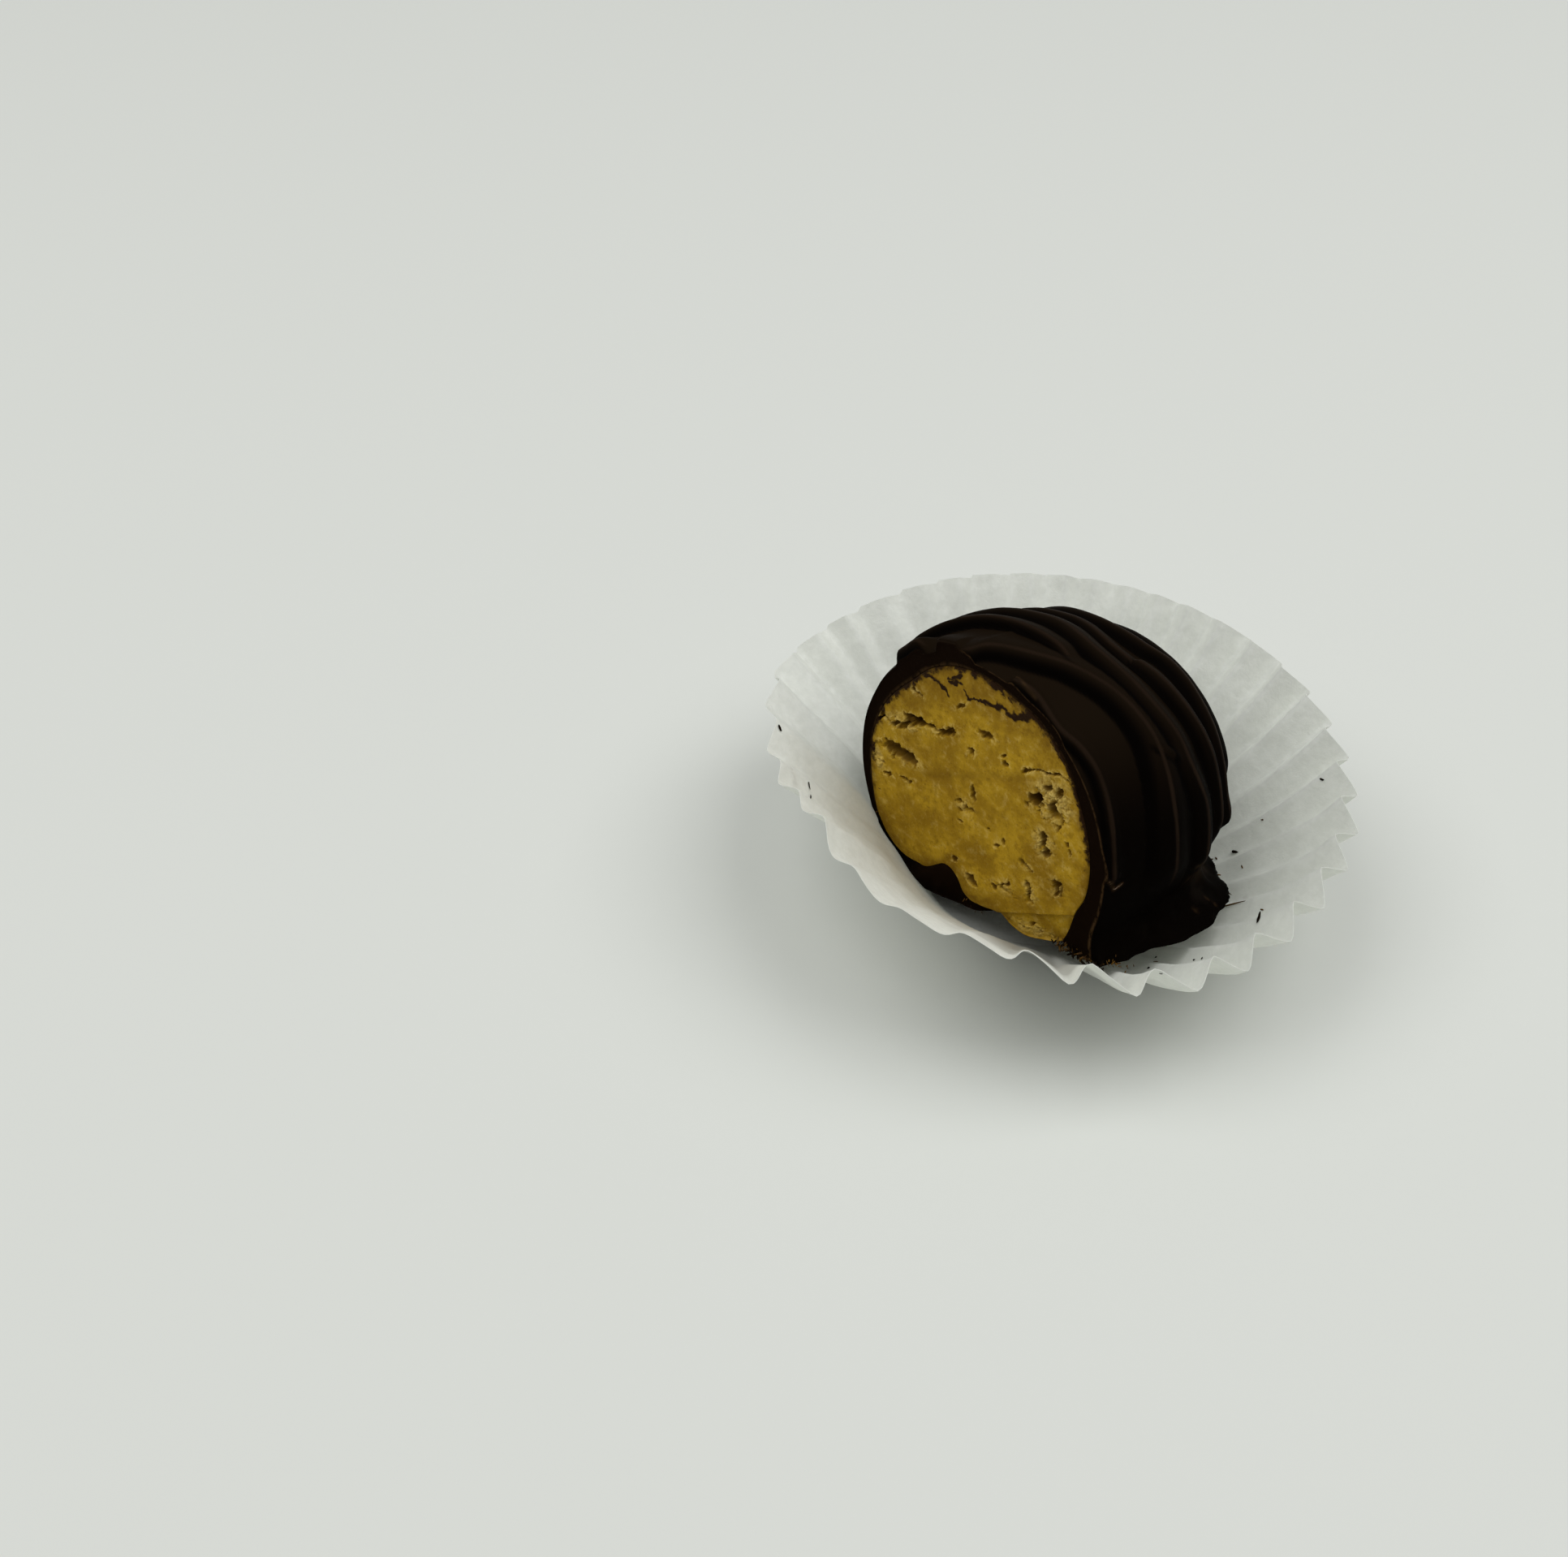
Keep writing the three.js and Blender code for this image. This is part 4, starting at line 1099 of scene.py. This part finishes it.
def chocolate_material(finishes):
    """Dark chocolate with a satin skin, browner and duller where it is cut, with painted shade and painted
    highlights.
    """
    shader = Shader("dark_chocolate")
    cloudy = shader.noise(4 * MM, 4.0)
    fine = shader.noise(0.5 * MM, 3.0)
    band = shader.painted("cut_band")
    bloom_and_glint = shader.painted("bloom_and_glint")
    tint = shader.layered(finishes.chocolate, (
        # Painted shade on the drizzle's flanks and low down
        (shader.painted("flank"), finishes.chocolate_painted_shade),
        # Painted highlight along the crests
        ((shader.painted("crest_highlight") * (0.4 + 1.2 * cloudy)).between(0.15, 1.0), finishes.chocolate_crest_highlight),
        (shader.painted("foot") * cloudy.between(0.56, 0.72) * 0.25, finishes.chocolate_bloom),
        # Bloom, and painted glints where the chocolate catches the light
        (bloom_and_glint * (0.5 + fine), finishes.chocolate_edge_and_highlight),
        (bloom_and_glint.between(0.65, 0.95), finishes.chocolate_glint),
        (band * (0.65 + 0.35 * fine), finishes.chocolate_cut),
        # The knife's edge, partly a painted highlight
        (shader.painted("knife_edge_and_highlight") * fine.between(0.3, 0.6), finishes.chocolate_edge_and_highlight)))
    rough = 0.36 + 0.16 * cloudy + 0.22 * band + 0.05 * fine
    normal = shader.bump(fine, 0.12, 0.04 * MM)
    return shader.done(shader.surface({
        "Base Color": tint, "Roughness": rough, "Normal": normal, "Specular IOR Level": 0.005,
        "Specular Tint": (1.0, 0.72, 0.5, 1.0)}))


def filling_material(finishes):
    """Peanut filling: dull, smeared by the knife, with dry crumbs, brown pits, streaks of chocolate and
    painted shade.
    """
    shader = Shader("peanut_filling_cut")
    cloudy = shader.noise(3.2 * MM, 4.0)
    mottle = shader.noise(0.9 * MM, 3.0, 0.6)
    dragged = shader.noise(0.45 * MM, 3.0, 0.6, (1.0, 1.0, 0.22))
    grain = shader.noise(0.24 * MM, 2.0)
    pit = shader.painted("pit")
    tint = shader.layered(finishes.filling, (
        (cloudy.between(0.36, 0.66), finishes.filling_dark),
        (mottle.between(0.5, 0.7) * 0.75, finishes.filling_dark),
        (mottle.between(0.48, 0.25) * 0.3, finishes.filling_pale),
        (dragged.between(0.55, 0.8) * 0.35, finishes.filling_dark),
        (grain.between(0.58, 0.75) * 0.15, finishes.filling_pale),
        (grain.between(0.42, 0.27) * 0.4, finishes.filling_brown),
        # Painted shade towards the face's top and edge
        (shader.painted("edge_shade") * (0.2 + 0.6 * mottle), finishes.filling_brown),
        (shader.painted("score") * (0.3 + 0.5 * mottle), finishes.filling_brown),
        (shader.painted("pale") * (0.45 + 0.5 * grain.between(0.35, 0.6)), finishes.filling_pale),
        # Brown pits, with painted shade in their hollows, darkest in the deepest
        (pit.between(0.05, 0.55) * 0.9, finishes.filling_brown),
        (pit.between(0.6, 1.0) * 0.9, finishes.filling_deep),
        ((shader.painted("smear") * (0.55 + 0.9 * grain)).between(0.12, 0.8), finishes.filling_smear)))
    rough = 0.62 + 0.2 * grain
    normal = shader.bump(grain + 0.6 * mottle, 0.4, 0.07 * MM)
    return shader.done(shader.surface({
        "Base Color": tint, "Roughness": rough, "Normal": normal, "Specular IOR Level": 0.06}))


def crumb_material(finishes):
    """Dry crumbs of the filling."""
    shader = Shader("dry_crumb")
    patches = shader.noise(0.6 * MM, 2.0)
    tint = shader.mix(patches.between(0.35, 0.65), finishes.filling_deep, finishes.filling_brown)
    return shader.done(shader.surface({
        "Base Color": tint, "Roughness": 0.6 + 0.3 * patches, "Specular IOR Level": 0.2}))


def paper_material(finishes):
    """Thin white paper that lets light through, clouded by its fibres, smeared with grease, with a painted
    shadow on its front wall.
    """
    shader = Shader("white_paper")
    clouds = shader.noise(0.9 * MM, 5.0, 0.7)
    fibres = shader.noise(0.35 * MM, 3.0, 0.6, (1.0, 1.0, 0.4))
    # Painted shadow on the front wall, where the paper also lets less light through
    painted_shadow = shader.painted("painted_shadow") * (0.7 + 0.4 * clouds)
    stained = (shader.painted("smear") * (0.4 + 1.2 * clouds)).between(0.05, 0.9)
    tint = shader.layered(finishes.paper, (
        (clouds.between(0.3, 0.7), [0.91 * part for part in finishes.paper]),
        (painted_shadow, finishes.paper_painted_shadow),
        (stained, finishes.stain)))
    normal = shader.bump(0.3 * fibres + clouds, 0.5, 0.16 * MM)
    sheet = shader.surface({
        "Base Color": tint, "Roughness": 0.55 + 0.2 * clouds, "Normal": normal, "Specular IOR Level": 0.3})
    through = shader.add("ShaderNodeBsdfTranslucent", None, {
        "Color": (*finishes.paper_through, 1.0), "Normal": normal}).outputs[0]
    factor = (0.2 + 0.3 * clouds) * (1 - 0.7 * stained) * (1 - 0.6 * painted_shadow)
    mixed = shader.add("ShaderNodeMixShader", None, {0: factor, 1: sheet, 2: through})
    return shader.done(mixed.outputs[0])


def floor_material(settings):
    """Plain pale floor."""
    shader = Shader("pale_floor")
    mottle = shader.noise(30 * MM, 3.0)
    tint = shader.mix(mottle * 0.15, settings.floor, [0.94 * part for part in settings.floor])
    return shader.done(shader.surface({
        "Base Color": tint, "Roughness": 0.6 + 0.1 * mottle, "Specular IOR Level": 0.2}))


# Operators


class BUCKEYE_OT_paper_case(bpy.types.Operator):
    """Make the fluted paper case"""

    bl_idname = "buckeye.paper_case"
    bl_label = "Paper case"

    def execute(self, context):
        settings = context.scene.buckeye
        case = CaseShape(settings.case)
        bm = case_mesh(case)
        paint(bm, "smear", mark_strength(corners_of(bm), BVHTree.FromBMesh(bm), settings.stage, SMEARS))
        piece = finished(bm, "fluted_paper", paper_material(settings.finishes), "paper_case")
        walls = piece.modifiers.new("paper", "SOLIDIFY")
        walls.thickness = settings.case.paper
        walls.offset = 0.0
        return {"FINISHED"}


class BUCKEYE_OT_chocolate(bpy.types.Operator):
    """Make the chocolate coating with its drizzle, foot and cut edge"""

    bl_idname = "buckeye.chocolate"
    bl_label = "Chocolate coating"

    def execute(self, context):
        settings = context.scene.buckeye
        paper = tree_of(bpy.data.objects["fluted_paper"])
        bm = coating_mesh(CandyShape(settings.candy), paper)
        # Bloom and painted glints on the chocolate
        paint(bm, "bloom_and_glint", mark_strength(corners_of(bm), BVHTree.FromBMesh(bm), settings.stage, BLOOM_AND_GLINTS))
        material = chocolate_material(settings.finishes)
        finished(bm, "dipped_chocolate", material, "chocolate_coating")
        return {"FINISHED"}


class BUCKEYE_OT_filling(bpy.types.Operator):
    """Make the peanut filling's cut face"""

    bl_idname = "buckeye.filling"
    bl_label = "Peanut filling"

    def execute(self, context):
        settings = context.scene.buckeye
        bm = filling_mesh(CandyShape(settings.candy))
        finished(bm, "cut_filling", filling_material(settings.finishes), "peanut_filling")
        return {"FINISHED"}


class BUCKEYE_OT_crumbs(bpy.types.Operator):
    """Scatter crumbs along the cut and flecks of chocolate on the paper"""

    bl_idname = "buckeye.crumbs"
    bl_label = "Crumbs and flecks"

    def execute(self, context):
        settings = context.scene.buckeye
        candy = CandyShape(settings.candy)
        paper = tree_of(bpy.data.objects["fluted_paper"])
        tan = crumbs_mesh(candy, paper, "filling")
        flecks_mesh(tan, paper, settings.stage, SHREDS)
        finished(tan, "filling_crumbs", crumb_material(settings.finishes))
        dark = crumbs_mesh(candy, paper, "chocolate")
        flecks_mesh(dark, paper, settings.stage, FLECKS)
        finished(dark, "chocolate_flecks", bpy.data.materials["dark_chocolate"])
        return {"FINISHED"}


class BUCKEYE_OT_stage(bpy.types.Operator):
    """Set the floor, the light and the camera"""

    bl_idname = "buckeye.stage"
    bl_label = "Stage"

    def execute(self, context):
        scene = context.scene
        settings = scene.buckeye.stage
        bm = bmesh.new()
        bmesh.ops.create_grid(bm, x_segments=FLOOR_STEPS, y_segments=FLOOR_STEPS, size=FLOOR_HALF)
        floor = meshed(bm, "floor", floor_material(settings))
        self.add_light("right_light", settings.right_power, RIGHT_LIGHT)
        self.add_light("left_light", settings.left_power, LEFT_LIGHT)
        world = bpy.data.worlds.new("studio")
        world.use_nodes = True
        sky = world.node_tree.nodes["Background"]
        sky.inputs["Color"].default_value = (*settings.sky, 1.0)
        sky.inputs["Strength"].default_value = settings.sky_strength
        scene.world = world
        lens = bpy.data.cameras.new("camera")
        lens.sensor_width = SENSOR
        lens.lens = SENSOR * FOCAL_PIXELS / PICTURE[0]
        lens.clip_start = NEAREST
        camera = linked("camera", lens)
        camera.location = settings.camera_place
        camera.rotation_euler = settings.camera_turn
        scene.camera = camera
        scene.view_settings.view_transform = "Standard"
        return {"FINISHED"}

    def add_light(self, name, power, place):
        """A soft square light that faces the candy."""
        data = bpy.data.lights.new(name, "AREA")
        data.energy = power
        data.size = LIGHT_SIZE
        light = linked(name, data)
        light.location = place
        light.rotation_euler = (-Vector(place)).to_track_quat("-Z", "Y").to_euler()


class BUCKEYE_PT_panel(bpy.types.Panel):
    """Lists the candy's pieces"""

    bl_idname = "BUCKEYE_PT_panel"
    bl_label = "Buckeye candy"
    bl_space_type = "VIEW_3D"
    bl_region_type = "UI"
    bl_category = "Buckeye"

    def draw(self, context):
        for operator in OPERATORS:
            self.layout.operator(operator.bl_idname)
        settings = context.scene.buckeye
        for group in (settings.case, settings.candy, settings.finishes, settings.stage):
            box = self.layout.box()
            for name in group.__annotations__:
                box.prop(group, name)


GROUPS = (CaseSizes, CandySizes, Finishes, StageSettings, BuckeyeSettings)
OPERATORS = (
    BUCKEYE_OT_paper_case, BUCKEYE_OT_chocolate, BUCKEYE_OT_filling, BUCKEYE_OT_crumbs, BUCKEYE_OT_stage)


def register():
    """Registers the settings, the operators and the panel."""
    for item in (*GROUPS, *OPERATORS, BUCKEYE_PT_panel):
        bpy.utils.register_class(item)
    bpy.types.Scene.buckeye = PointerProperty(type=BuckeyeSettings)


def unregister():
    """Takes them out again."""
    del bpy.types.Scene.buckeye
    for item in reversed((*GROUPS, *OPERATORS, BUCKEYE_PT_panel)):
        bpy.utils.unregister_class(item)


def main():
    """Builds the candy piece by piece."""
    register()
    bpy.ops.buckeye.paper_case()
    bpy.ops.buckeye.chocolate()
    bpy.ops.buckeye.filling()
    bpy.ops.buckeye.crumbs()
    bpy.ops.buckeye.stage()


if __name__ == "__main__":
    main()
